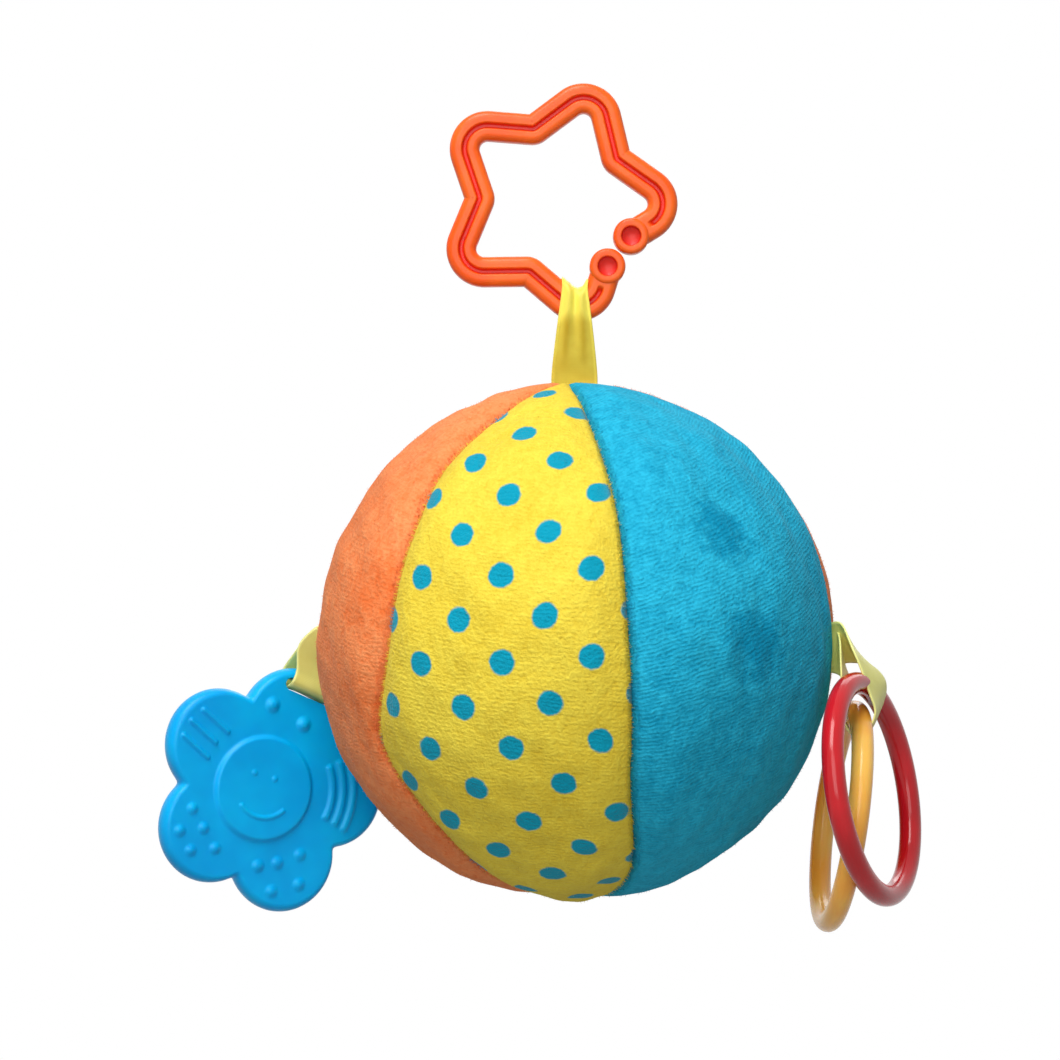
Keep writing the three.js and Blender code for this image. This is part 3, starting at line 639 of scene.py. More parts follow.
@dataclass
class PlushBall:
    """The stuffed ball: six gores sewn edge to edge, swollen by their filling and drawn in at the seams."""

    radius: float = 65.0
    skin: float = 2.0
    gores: int = 6
    nod: float = 6.7
    roll: float = -2.2
    front_seam: float = 11.6
    seam_depth: float = 1.5
    seam_width: float = 6.0
    soft_level: float = 24.0
    crevice_depth: float = 1.3
    crevice_width: float = 0.9
    crevice_level: float = 6.0
    pole_reach: float = 89.7
    fibres: int = 4200
    fibre_width: float = 0.06
    bare: tuple[tuple[float, float, float], ...] = (
        (-61.0, 20.4, -1.4),
        (63.0, -7.0, -1.5),
        (-0.5, 0.0, 63.0),
    )
    bare_reach: float = 9.0
    rows: int = 220
    columns: int = 96
    sim_columns: int = 90
    sim_rows: int = 45
    sim_reach: float = 89.0
    sim_held: float = 86.0
    sim_start: float = 0.985
    sim_frames: int = 20
    swell_limit: float = 2.5
    swell_level: float = 92.0
    crown: float = 1.3
    dimple_depth: float = 2.9
    dimple_reach: float = 6.8
    dimple_slope: float = 3.0
    wad_gap: float = 3.2
    wad_lumps: float = 1.1
    swell: Optional[Array] = None
    order: tuple[tuple[str, GoreColour], ...] = (
        ("panel_turquoise_front", GoreColour.TURQUOISE),
        ("panel_orange_back", GoreColour.ORANGE),
        ("panel_dotted_back", GoreColour.DOTTED),
        ("panel_turquoise_back", GoreColour.TURQUOISE),
        ("panel_orange_front", GoreColour.ORANGE),
        ("panel_dotted_front", GoreColour.DOTTED),
    )

    def turn(self) -> Array:
        """The ball's nod to the front and then its roll to the left, as one rotation."""
        n, r = math.radians(self.nod), math.radians(self.roll)
        nod = np.array([[1, 0, 0], [0, math.cos(n), -math.sin(n)], [0, math.sin(n), math.cos(n)]])
        roll = np.array([[math.cos(r), 0, math.sin(r)], [0, 1, 0], [-math.sin(r), 0, math.cos(r)]])
        return roll @ nod

    def point(self, longitude: Array, latitude: Array, radius: Array) -> Array:
        """A place by longitude from the front towards +X and latitude, in degrees, turned with the ball.

        Args:
            longitude: Degrees round the ball.
            latitude: Degrees above its equator.
            radius: Distance from its centre.

        Returns:
            The places.
        """
        lon, lat = np.radians(longitude), np.radians(latitude)
        level = np.cos(lat) * radius
        local = np.stack([level * np.sin(lon), -level * np.cos(lon), np.sin(lat) * radius], -1)
        return local @ self.turn().T

    def outward(self, longitude: Array, latitude: Array) -> Array:
        """The direction outwards at a place."""
        return self.point(longitude, latitude, np.ones_like(longitude))

    def seam(self, number: int, latitude: Array) -> Array:
        """A seam's longitude at each latitude: a straight meridian that wanders by some degrees, as sewn.

        Args:
            number: Seams counted from the front one towards +X.
            latitude: Degrees above the equator.

        Returns:
            The longitudes in degrees.
        """
        straight = self.front_seam + 360 / self.gores * number
        number %= self.gores
        if number == 0:
            return straight - 0.4 + ease(latitude, 10, 45) + 13 * ease(-latitude, 20, 85)
        if number == 1:
            return straight + 12.5 + 5 * ease(np.abs(latitude + 1), 6, 30) + 12 * ease(latitude, 15, 80)
        if number == self.gores - 2:
            return straight - 26 * ease(latitude, 35, 86)
        if number == self.gores - 1:
            low = 2.4 * ease(-latitude, 30, 60) - 6.3 * np.exp(-((latitude + 16) / 15) ** 2)
            return straight + 1.3 + low - 2.5 * ease(latitude, 33, 50)
        return straight + 0.7 * np.sin(np.radians(latitude * 2.3 + 70 * number))

    def valley(self, distance: Array, level: Array) -> Array:
        """How far the skin is drawn in at a distance from a seam: a wide soft dip and a narrow crevice."""
        soft = self.seam_depth * np.exp(-((distance / self.seam_width) ** 2))
        sharp = self.crevice_depth * np.exp(-((distance / self.crevice_width) ** 2))
        soft = soft * np.clip(level / self.soft_level, 0, 1)
        return soft + sharp * np.clip(level / self.crevice_level, 0.2, 1)

    def inflate(self) -> None:
        """Swells a coarse ball of cloth by air pressure, held along its seams, and keeps its radius."""
        lon = self.front_seam + np.arange(self.sim_columns) * 360 / self.sim_columns
        lat = np.linspace(-self.sim_reach, self.sim_reach, self.sim_rows)
        lons, lats = np.meshgrid(lon, lat)
        level = self.radius * np.cos(np.radians(lats))
        gap = 360 / self.gores
        away = np.abs((lons - self.front_seam) / gap - np.round((lons - self.front_seam) / gap)) * gap
        dip = self.seam_depth * np.exp(-((np.radians(away) * level / self.seam_width) ** 2))
        start = self.radius * self.sim_start - dip * np.clip(level / self.soft_level, 0, 1)
        start = start + 0.5 * ripple(self.outward(lons, lats), 0.7, 5)
        grid = to_frame(self.point(lons, lats, start))
        points = grid.reshape(-1, 3)
        mesh = bpy.data.meshes.new("skin cloth")
        numbers = list(range(len(points)))
        caps = [numbers[:self.sim_columns][::-1], numbers[-self.sim_columns:]]
        quads = grid_quads(self.sim_rows, self.sim_columns, True).tolist()
        mesh.from_pydata(points.tolist(), [], quads + caps)
        cloth = bpy.data.objects.new("skin cloth", mesh)
        bpy.context.scene.collection.objects.link(cloth)
        held = cloth.vertex_groups.new(name="seams")
        seams = np.flatnonzero((away < 0.1).ravel() | (np.abs(lats) > self.sim_held).ravel())
        held.add(seams.tolist(), 1.0, "REPLACE")
        modifier = cloth.modifiers.new("cloth", "CLOTH")
        settings = modifier.settings
        settings.quality = 6
        settings.mass = 0.2
        settings.tension_stiffness = 25
        settings.compression_stiffness = 25
        settings.shear_stiffness = 10
        settings.bending_stiffness = 2
        settings.use_pressure = True
        settings.uniform_pressure_force = 4
        settings.vertex_group_mass = "seams"
        settings.effector_weights.gravity = 0
        scene = bpy.context.scene
        for step in range(1, self.sim_frames + 1):
            scene.frame_set(step)
        shaped = cloth.evaluated_get(bpy.context.evaluated_depsgraph_get())
        found = np.empty(len(points) * 3, np.float32)
        shaped.data.vertices.foreach_get("co", found)
        scene.frame_set(1)
        bpy.data.objects.remove(cloth)
        reach = np.linalg.norm(found.reshape(-1, 3) / MM - CENTRE, axis=-1).reshape(start.shape)
        rise = np.clip(reach - start, -self.swell_limit, self.swell_limit)
        final = start + rise
        self.swell = final - np.percentile(final, self.swell_level)
        log.info("cloth: swell from %.2f to %.2f mm", rise.min(), rise.max())

    def swollen(self, longitude: Array, latitude: Array) -> Array:
        """The cloth's radius against the ball's, by cubic interpolation of the coarse grid.

        Args:
            longitude: Degrees round the ball.
            latitude: Degrees above its equator.

        Returns:
            Millimetres to add to the ball's radius.
        """
        if self.swell is None:
            return 0.0 * longitude
        column = (longitude - self.front_seam) / 360 * self.sim_columns
        climb = (latitude + self.sim_reach) / (2 * self.sim_reach)
        row = np.clip(climb * (self.sim_rows - 1), 0, self.sim_rows - 1.001)
        total = 0.0 * longitude
        for i, wi in enumerate(cubic(row - np.floor(row))):
            r = np.clip(np.floor(row).astype(int) + i - 1, 0, self.sim_rows - 1)
            for j, wj in enumerate(cubic(column - np.floor(column))):
                c = (np.floor(column).astype(int) + j - 1) % self.sim_columns
                total = total + wi * wj * self.swell[r, c]
        return total

    def height(self, number: int, lons: Array, lats: Array) -> tuple[Array, Array]:
        """The skin's distance from the centre: swollen cloth, lumps, the nearer seam's pull and a dimple.

        The dimple lies round the upright axis, so that the ball can turn under its ribbon.

        Args:
            number: The gore's number.
            lons: Degrees round the ball.
            lats: Degrees above its equator.

        Returns:
            The radii, and how near the seam is from 0 to 1.
        """
        level = self.radius * np.cos(np.radians(lats))
        ahead, behind = lons - self.seam(number, lats), self.seam(number + 1, lats) - lons
        distance = np.minimum(ahead, behind) * np.radians(1) * level
        way = self.outward(lons, lats)
        lumps = 0.35 * ripple(way, 0.42, 11) + 0.2 * ripple(way, 0.16, 12)
        pucker = 0.08 * np.sin(lats * 0.9 + 3 * ripple(way, 0.5, 13 + number)) * np.exp(-distance / 4)
        drawn = 1.0
        if self.swell is not None:
            drawn = 0.35 + 0.65 * np.exp(-distance / 3)
        bulge = 0.65 * np.minimum(self.swollen(lons, lats), 0.4) + self.crown * ease(lats, 58, 84)
        radius = self.radius + bulge + lumps * ease(distance, 2, 9) + pucker * np.clip(level / 30, 0, 1)
        axis = np.hypot(way[..., 0], way[..., 1]) * self.radius
        clear = ease(axis, self.dimple_reach, self.dimple_reach + self.dimple_slope)
        dimple = self.dimple_depth * (1 - clear) * (way[..., 2] > 0)
        return radius - self.valley(distance, level) * drawn - dimple, np.exp(-distance / 0.8)

    def fabric(self, number: int, lons: Array, lats: Array) -> Array:
        """Fabric places: millimetres from the gore's middle line, and up from the equator."""
        middle = self.front_seam + (number + 0.5) * 360 / self.gores
        across = np.radians(lons - middle) * self.radius * np.cos(np.radians(lats))
        return np.stack([across, np.radians(lats) * self.radius], -1)

    def gore(self, number: int) -> Surface:
        """One gore as a closed skin: a grid of latitude by share from seam to seam, and its inside.

        Args:
            number: Gores counted from the front seam towards +X.

        Returns:
            The closed surface.
        """
        even = np.linspace(0, 1, self.columns)
        share = 0.35 * even + 0.65 * (0.5 - 0.5 * np.cos(np.pi * even))
        lats = np.linspace(-self.pole_reach, self.pole_reach, self.rows)[:, None] + 0 * share
        first, last = self.seam(number, lats), self.seam(number + 1, lats)
        margin = 0.06 / np.radians(1) / (self.radius * np.cos(np.radians(lats)))
        lons = first + margin + share * (last - first - 2 * margin)
        radius, near = self.height(number, lons, lats)
        inner = self.point(lons, lats, radius - self.skin)
        # The seams' nearness goes on the mesh as depth, the weight of the painted shade along the seams.
        return shell(self.point(lons, lats, radius), inner, self.fabric(number, lons, lats), near)

    def pile(self, number: int) -> Surface:
        """Loose fibres on one gore as thin spikes with four sides, half of them bent over its seams.

        Args:
            number: The gore's number.

        Returns:
            The spikes as one surface.
        """
        source = np.random.default_rng(40 + number)
        lats = np.degrees(np.arcsin(source.uniform(-0.985, 0.985, self.fibres)))
        first, last = self.seam(number, lats), self.seam(number + 1, lats)
        level = self.radius * np.cos(np.radians(lats))
        sewn = source.random(self.fibres) < 0.5
        side = np.where(source.random(self.fibres) < 0.5, -1.0, 1.0)
        inset = np.degrees(source.uniform(0.3, 1.8, self.fibres) / level)
        edge = np.where(side < 0, first, last) - side * inset
        free = first + (last - first) * source.uniform(0.05, 0.95, self.fibres)
        lons = np.where(sewn, edge, free)
        radius, _ = self.height(number, lons, lats)
        root = self.point(lons, lats, radius - 0.2)
        clear = np.linalg.norm(root[:, None] - np.array(self.bare)[None], axis=-1).min(1) > self.bare_reach
        outward = self.outward(lons, lats)
        east = unit(self.outward(lons + 0.5, lats) - self.outward(lons - 0.5, lats))
        north = np.cross(outward, east)
        bent = side * source.uniform(0.2, 1.1, self.fibres)
        lean = np.where(sewn, bent, source.normal(0, 0.7, self.fibres))
        rise = source.normal(0, 0.5, self.fibres)[:, None] * north
        way = unit(outward * source.uniform(0.5, 1.0, self.fibres)[:, None] + east * lean[:, None] + rise)
        long = source.uniform(0.6, 1.2, self.fibres)
        length = np.where(sewn, long, source.uniform(0.45, 0.8, self.fibres))
        flat = unit(np.cross(way, north))
        deep = np.cross(way, flat)
        ring = np.stack([flat, deep, -flat, -deep], 1) * self.fibre_width
        tip = (root + way * length[:, None])[:, None] + ring * 0.3
        points = np.concatenate([root[:, None] + ring, tip], 1)[clear]
        faces = np.array([[0, 1, 5, 4], [1, 2, 6, 5], [2, 3, 7, 6], [3, 0, 4, 7], [3, 2, 1, 0], [4, 5, 6, 7]])
        quads = (np.arange(len(points)) * 8)[:, None, None] + faces
        fabric = np.repeat(self.fabric(number, lons, lats)[clear], 8, axis=0)
        return Surface(points.reshape(-1, 3), quads.reshape(-1, 4), fabric)

    def wad(self, side: int, hollow: float = 18.4, sides: int = 120, rows: int = 50) -> Surface:
        """Half of the filling: a lumpy dome under the skin, a flat parting and a hollow for the capsule.

        Args:
            side: One for the upper half, minus one for the lower.
            hollow: The hollow's radius.
            sides: Points round it.
            rows: Rows on its dome and in its hollow.

        Returns:
            The closed surface.
        """
        lon = np.arange(sides) * 360 / sides
        climb = np.concatenate([np.linspace(90, 0.4, rows), np.linspace(0.4, 90, rows // 2)])
        lons, lats = np.meshgrid(lon, side * climb)
        inside = (np.arange(len(climb)) >= rows)[:, None]
        lump = np.abs(ripple(self.outward(lons, lats), 0.35, 21 + side)) * self.wad_lumps
        dome = self.radius - self.skin - self.wad_gap - lump
        points = self.point(lons, lats, np.where(inside, hollow + 0.15, dome))
        return Surface(points.reshape(-1, 3), grid_quads(len(climb), sides, True)).outward()

    def build(self) -> None:
        """Makes the six gores and the two wads, on the ball's body."""
        finishes = {kind: PLUSHES[kind].material() for kind in GoreColour}
        for number, (node, kind) in enumerate(self.order):
            forms = [self.gore(number), self.pile(number)]
            piece = make_piece(node.replace("panel", "gore"), forms, finishes[kind])
            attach(piece, "ball")
            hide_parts(node)
        wadding = Wadding("fibre filling").material()
        for side, node in ((1, "stuffing_upper"), (-1, "stuffing_lower")):
            piece = make_piece(node.replace("stuffing", "wad"), [self.wad(side)], wadding)
            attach(piece, "ball")
            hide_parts(node)


def travelled(line: Array) -> Array:
    """How far along a line each of its points lies: the sum of the steps before it."""
    return np.concatenate([[0], np.cumsum(np.linalg.norm(np.diff(line, axis=0), axis=1))])


def cubic(share: Array) -> tuple[Array, Array, Array, Array]:
    """The four weights of a smooth cubic through neighbouring samples, at a share between the middle two."""
    s2, s3 = share ** 2, share ** 3
    return (
        0.5 * (-s3 + 2 * s2 - share),
        0.5 * (3 * s3 - 5 * s2 + 2),
        0.5 * (-3 * s3 + 4 * s2 + share),
        0.5 * (s3 - s2),
    )


# Star link


@dataclass
class StarLink:
    """The star-shaped link: one bar bent round five points, grooved on both faces, open at two end discs."""

    centre: tuple[float, float] = (-5.505, 110.6015)
    points: int = 5
    tip_radius: float = 31.8
    valley_radius: float = 18.7
    turn: float = 70.1
    tip_round: float = 5.8
    valley_round: float = 1.5
    width: float = 7.5
    thickness: float = 6.5
    edge: float = 1.8
    groove_width: float = 1.35
    groove_depth: float = 1.3
    groove_fade: tuple[float, float] = (0.6, 2.2)
    disc_diameter: float = 9.0
    disc_proud: float = 0.5
    disc_edge: float = 1.0
    disc_sides: int = 72
    dimple_diameter: float = 4.8
    dimple_depth: float = 1.5
    dimple_lip: float = 0.35
    dimple_corner: float = 0.3
    dimple_clear: float = 0.3
    link_gap: float = 0.6
    bend_steps: int = 24
    stations: int = 620

    def polar(self, radius: float, angle: float) -> Array:
        """A place in the star's plane by radius and degrees."""
        return radius * np.array([math.cos(math.radians(angle)), math.sin(math.radians(angle))])

    def layout(self) -> tuple[list[Array], list[float], list[Array]]:
        """The bar's corners and their rounding, from one disc round to the other.

        Returns:
            Corners with both ends, a radius for each inner corner, and the discs' centres.
        """
        step = 180 / self.points
        opening = self.turn - 3 * step
        corners, rounds = [], []
        for i in range(1, 2 * self.points):
            tip = i % 2 == 1
            corners.append(self.polar(self.tip_radius if tip else self.valley_radius, opening + i * step))
            rounds.append(self.tip_round if tip else self.valley_round)
        valley = self.polar(self.valley_radius, opening)
        legs = [unit(corners[0] - valley), unit(corners[-1] - valley)]
        spread = math.sin(math.acos(float(legs[0] @ legs[1])) / 2)
        reach = (self.disc_diameter + self.link_gap) / 2 / spread
        discs = [valley + leg * reach for leg in legs]
        ends = [d + leg * (self.dimple_diameter / 2 + self.dimple_clear) for d, leg in zip(discs, legs)]
        return [ends[0], *corners, ends[1]], rounds, discs

    def path(self) -> Array:
        """The bar's middle line: straight runs and arcs that touch them, in even steps.

        Returns:
            Places in the star's plane.
        """
        corners, rounds, _ = self.layout()
        line = [corners[0]]
        for before, corner, after, radius in zip(corners, corners[1:], corners[2:], rounds):
            into, away = unit(corner - before), unit(after - corner)
            bend = math.atan2(into[0] * away[1] - into[1] * away[0], float(into @ away))
            start = corner - into * radius * math.tan(abs(bend) / 2)
            middle = start + math.copysign(radius, bend) * np.array([-into[1], into[0]])
            angles = np.linspace(0, bend, self.bend_steps)
            arm = start - middle
            turned_x = arm[0] * np.cos(angles) - arm[1] * np.sin(angles)
            turned_y = arm[0] * np.sin(angles) + arm[1] * np.cos(angles)
            line.extend(middle + np.stack([turned_x, turned_y], -1))
        line.append(corners[-1])
        whole = np.array(line)
        run = travelled(whole)
        even = np.linspace(0, run[-1], self.stations)
        return np.stack([np.interp(even, run, whole[:, k]) for k in range(2)], -1)

    def section(self) -> tuple[Array, Array]:
        """The bar's outline: a rectangle with round edges whose two faces carry a round-bottomed groove.

        Returns:
            Places across and through the bar, and each one's share of the groove's depth.
        """
        half, deep, edge = self.width / 2, self.thickness / 2, self.edge
        face = np.linspace(-1, 1, 27)
        face = np.sign(face) * np.abs(face) ** 1.5 * (half - edge)
        arc = np.linspace(np.pi / 2, 0, 9)[1:]
        corner = np.stack([half - edge + edge * np.cos(arc), deep - edge + edge * np.sin(arc)], -1)
        top = np.stack([face, np.full_like(face, deep)], -1)
        upper = np.concatenate([corner[::-1] * [-1, 1], top, corner])
        outline = np.concatenate([upper, upper[::-1] * [1, -1]])
        on_face = np.abs(outline[:, 1]) > deep - 0.01
        dent = np.exp(-((np.abs(outline[:, 0]) / (self.groove_width / 2)) ** 6)) * on_face
        return outline, dent

    def bar(self) -> Surface:
        """The section carried along the middle line, its groove fading out before the discs."""
        line = self.path()
        heading = unit(np.gradient(line, axis=0))
        side = np.stack([heading[:, 1], -heading[:, 0]], -1)
        _, _, discs = self.layout()
        gap = np.min([np.linalg.norm(line - d, axis=1) for d in discs], axis=0) - self.disc_diameter / 2
        fade = ease(gap, *self.groove_fade)
        outline, dent = self.section()
        sunk = dent[None, :] * fade[:, None]
        through = outline[None, :, 1] - np.sign(outline[None, :, 1]) * sunk * self.groove_depth
        flat = line[:, None, :] + side[:, None, :] * outline[None, :, :1]
        sections = np.stack([flat[..., 0], through, flat[..., 1]], -1)
        # The groove's sunk share goes on the mesh as depth, which lays painted shade in the groove.
        return hose(sections + [self.centre[0], 0, self.centre[1]], sunk)

    def disc(self, centre: Array) -> Surface:
        """An end disc with round edges and a dimple on both faces, turned about its own axis."""
        half = self.thickness / 2 + self.disc_proud
        rim, dimple = self.disc_diameter / 2, self.dimple_diameter / 2
        edge, lip_round, corner = self.disc_edge, self.dimple_lip, self.dimple_corner
        low = self.dimple_depth - half
        arc = np.linspace(0, np.pi / 2, 7)
        sine, cosine = np.sin(arc), np.cos(arc)
        lip = np.stack([dimple + lip_round * (1 - sine), -half + lip_round * (1 - cosine)], -1)[::-1]
        outer = np.stack([rim - edge + edge * sine, -half + edge - edge * cosine], -1)
        floor = np.array([[0.0, low], [dimple - corner, low], [dimple, low - corner]])
        front = np.concatenate([floor, lip, outer])
        # The dimple's floor and lip carry depth, which lays painted shade in the dimple.
        depth = np.concatenate([np.ones(len(floor)), np.linspace(0.9, 0, len(lip)), np.zeros(len(outer))])
        profile = np.concatenate([front, front[::-1] * [1, -1]])
        made = turned(profile, self.disc_sides, np.concatenate([depth, depth[::-1]]))
        made.points = made.points + [self.centre[0] + centre[0], 0, self.centre[1] + centre[1]]
        return made

    def build(self) -> None:
        """Makes the link on its own body."""
        # The third colour is the painted shade in the groove and the dimples.
        finish = Moulded(
            "orange link plastic", "FF6E1C", "F45608", "E02210",
            rough=0.36, glow=0.12, coat=0.05,
        )
        _, _, discs = self.layout()
        piece = make_piece("star_bar", [self.bar(), *(self.disc(d) for d in discs)], finish.material())
        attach(piece, "link")
        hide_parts("star_link")


# Ribbons


SIDE_SATIN = Satin("yellow satin", "F6F698", "D6CC4A", 5.8)
# The hanging ribbon's satin takes painted shade and a painted highlight from its depth.
TOP_SATIN = Satin("gathered yellow satin", "FAEA5C", "C6A20C", 5.8)


@dataclass(frozen=True)
class Knot:
    """A place on a ribbon's middle line and the direction of its width there."""

    place: tuple[float, float, float]
    across: tuple[float, float, float]


def through(knots: Array, steps: int) -> Array:
    """A smooth line through knots along the first axis, by cubic steps between neighbours.

    Args:
        knots: The knots' values.
        steps: How many values are wanted.

    Returns:
        The values along the line.
    """
    place = np.linspace(0, len(knots) - 1, steps)
    base = np.minimum(np.floor(place).astype(int), len(knots) - 2)
    total = np.zeros((steps, *knots.shape[1:]))
    for i, weight in enumerate(cubic(place - base)):
        near = knots[np.clip(base + i - 1, 0, len(knots) - 1)]
        total = total + weight.reshape(-1, *[1] * (knots.ndim - 1)) * near
    return total


@dataclass
class SideRibbon:
    """A satin ribbon folded into a loop: two strands from a seam that part, swell and meet in a fold."""

    name: str
    node: str
    body: str
    knots: tuple[Knot, ...]
    outward: tuple[float, float, float]
    rests_on: tuple[str, ...]
    width: float = 11.6
    thickness: float = 0.45
    steps: int = 200
    columns: int = 25
    cup: float = 0.25
    flutter: float = 0.1
    root_length: float = 6.0

    def surface(self) -> tuple[Surface, float]:
        """The strip of fabric round the loop, with a slight cup across its width.

        Returns:
            The closed surface and the ribbon's length.
        """
        middle = through(np.array([k.place for k in self.knots]), self.steps)
        across = unit(through(np.array([k.across for k in self.knots]), self.steps))
        face = unit(np.cross(np.gradient(middle, axis=0), across))
        run = travelled(middle)
        share = np.linspace(-1, 1, self.columns)
        spread = middle[:, None] + across[:, None] * (share * self.width / 2)[None, :, None]
        free = np.sin(np.linspace(0, np.pi, self.steps))[:, None] ** 2
        lift = self.cup * (share[None, :] ** 2 - 0.4) * free
        lift = lift + self.flutter * np.sin(run[:, None] * 0.5 + share[None, :] * 2.0) * free
        front = spread + face[:, None] * (lift + self.thickness / 2)[..., None]
        back = spread + face[:, None] * (lift - self.thickness / 2)[..., None]
        fabric = np.stack(np.broadcast_arrays(share[None, :] * self.width / 2, run[:, None]), -1)
        return shell(front, back, fabric), float(run[-1])

    def build(self, finish: bpy.types.Material) -> None:
        """Makes the ribbon, its place baked into its mesh.

        Args:
            finish: The satin.
        """
        form, length = self.surface()
        piece = make_piece(self.name, [form], finish)
        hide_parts(self.node)
        self.width * MM
        start = np.array(self.knots[0].place)
        end = start + np.array(self.outward) * self.root_length
        tuple(to_frame(start))
        tuple(to_frame(end))
        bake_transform(piece)


@dataclass
class TopRibbon:
    """The hanging loop: a satin ribbon sewn into the ball's top and gathered over the star's lowest point."""

    star: StarLink
    width: float = 11.6
    thickness: float = 0.4
    root: tuple[float, float] = (-0.55, 63.2)
    root_half: float = 5.75
    fold_from: float = -3.7
    fold_to: float = 2.8
    cradle_level: float = -14.0
    cradle_reach: tuple[float, float] = (6.0, 4.0)
    standoff: float = 3.75
    rise: float = 0.55
    pleat: float = 0.5
    pleat_turns: float = 1.1
    held_at: tuple[float, float, float] = (2.0, 0.0, 81.0)
    free_at: tuple[float, float, float] = (2.0, 0.0, 72.0)
    columns: int = 41
    steps: int = 160

    def cradle(self) -> tuple[Array, Array]:
        """The inside of the star's lowest bend: its middle line moved in by half the bar's width.

        Returns:
            Places across and up, ordered from left to right.
        """
        line = self.star.path()
        heading = unit(np.gradient(line, axis=0))
        inside = line + np.stack([-heading[:, 1], heading[:, 0]], -1) * self.star.width / 2
        inside = inside + np.array(self.star.centre)
        low = line[:, 1] < self.cradle_level
        first, last = self.fold_from - self.cradle_reach[0], self.fold_to + self.cradle_reach[1]
        near = inside[low & (inside[:, 0] > first) & (inside[:, 0] < last)]
        order = np.argsort(near[:, 0])
        return near[order, 0], near[order, 1]

    def surface(self) -> tuple[Surface, float]:
        """Strands from the ball, up the bar's front, over its inside and down its back, as smooth curves.

        Each strand runs through six places up, one on the fold and six down, with cubic steps between them.

        Returns:
            The closed surface and the ribbon's length.
        """
        share = np.linspace(-1, 1, self.columns)
        x_root = self.root[0] + share * self.root_half
        x_fold = self.fold_from + (share + 1) / 2 * (self.fold_to - self.fold_from)
        across, up = self.cradle()
        z_fold = np.interp(x_fold, across, up) + self.rise
        z_fold = np.convolve(np.pad(z_fold, 4, "edge"), np.ones(9) / 9, "valid")
        wave = np.cos(share * 2 * self.pleat_turns * np.pi)
        pleat = self.pleat * wave

        def row(x: Array, y: Any, z: Any) -> Array:
            """One row of places across the ribbon."""
            return np.stack(np.broadcast_arrays(x, y, z), -1)

        rows = []
        for side in (-1, 1):
            rows.append([
                row(x_root, side * 0.35, self.root[1]),
                row(x_root, side * 0.9, self.root[1] + 4),
                row(x_root * 0.75 + x_fold * 0.25, side * 2.4 + pleat * 0.2, 73.5),
                row(x_root * 0.4 + x_fold * 0.6, side * self.standoff + pleat * 0.7, 80.5),
                row(x_fold, side * (self.standoff + 0.1) + pleat, z_fold - 3.0),
                row(x_fold, side * (self.standoff - 0.9) + pleat * 0.3, z_fold - 0.55),
            ])
        top = row(x_fold, 0.0, z_fold + 0.1 + 0.2 * np.abs(pleat))
        knots = np.array([*rows[0], top, *rows[1][::-1]])
        middle = through(knots, self.steps)
        step_on = np.gradient(middle, axis=0)
        step_over = np.gradient(middle, axis=1)
        face = unit(np.cross(step_on, step_over))
        run = travelled(middle[:, self.columns // 2])
        half = self.thickness / 2
        fabric = np.stack(np.broadcast_arrays(share[None, :] * self.width / 2, run[:, None]), -1)
        level = middle[..., 2]
        # Depth for the satin: a little over the whole strip, painted shade in the pleats' valleys above the
        # ball, and a painted highlight, below zero, along the top of the fold.
        pleat_shade = (0.5 - 0.5 * wave) ** 3
        depth = 0.25 + 0.5 * pleat_shade * ease(level, 66, 76) - 0.9 * ease(level + share ** 2, 80, 84)
        return shell(middle + face * half, middle - face * half, fabric, depth), float(run[-1])

    def build(self, finish: bpy.types.Material) -> None:
        """Makes the ribbon, which holds the bar at its fold, its place baked into its mesh.

        Args:
            finish: The satin.
        """
        form, length = self.surface()
        piece = make_piece("hanging_ribbon", [form], finish)
        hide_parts("top_ribbon")
        self.width * MM
        start, end = np.array(self.held_at), np.array(self.free_at)
        tuple(to_frame(start))
        tuple(to_frame(end))
        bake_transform(piece)


# Teethers


@dataclass(frozen=True)
class Studs:
    """Round studs of one size, by their places across and outwards."""

    radius: float
    height: float
    places: tuple[tuple[float, float], ...]
    crown: float = 0.15

    def rise(self, a: Array, b: Array) -> Array:
        """How far the studs stand out at places across and outwards: domes that fall off to their rims."""
        spans = (np.hypot(a - across, b - out) for across, out in self.places)
        return sum(self.height * (1 - ease(span, self.crown * self.radius, self.radius)) for span in spans)


@dataclass(frozen=True)
class Ridges:
    """Straight ridges with round ends and round tops that run outwards."""

    half: float
    width: float
    height: float
    places: tuple[tuple[float, float], ...]
    crown: float = 0.2

    def rise(self, a: Array, b: Array) -> Array:
        """How far the ridges stand out at places across and outwards."""
        past = (np.maximum(np.abs(b - out) - self.half, 0) for _, out in self.places)
        spans = (np.hypot(run, a - place[0]) for run, place in zip(past, self.places))
        return sum(self.height * (1 - ease(span, self.crown * self.width, self.width)) for span in spans)


@dataclass(frozen=True)
class Arcs:
    """Raised arcs about one middle, above it or below it, that end softly at a reach to each side."""

    middle: tuple[float, float]
    radii: tuple[float, ...]
    width: tuple[float, float]
    height: float
    reach: tuple[float, float]
    below: bool = False
    tilt: float = 0.0

    def rise(self, a: Array, b: Array) -> Array:
        """How far the arcs stand out at places across and outwards."""
        a, b = a - self.middle[0], b - self.middle[1]
        swing = np.degrees(np.arctan2(a, -b if self.below else b)) + self.tilt
        shown = self.height * (1 - ease(np.abs(swing), *self.reach))
        span = np.hypot(a, b)
        return sum(shown * (1 - ease(np.abs(span - radius), *self.width)) for radius in self.radii)


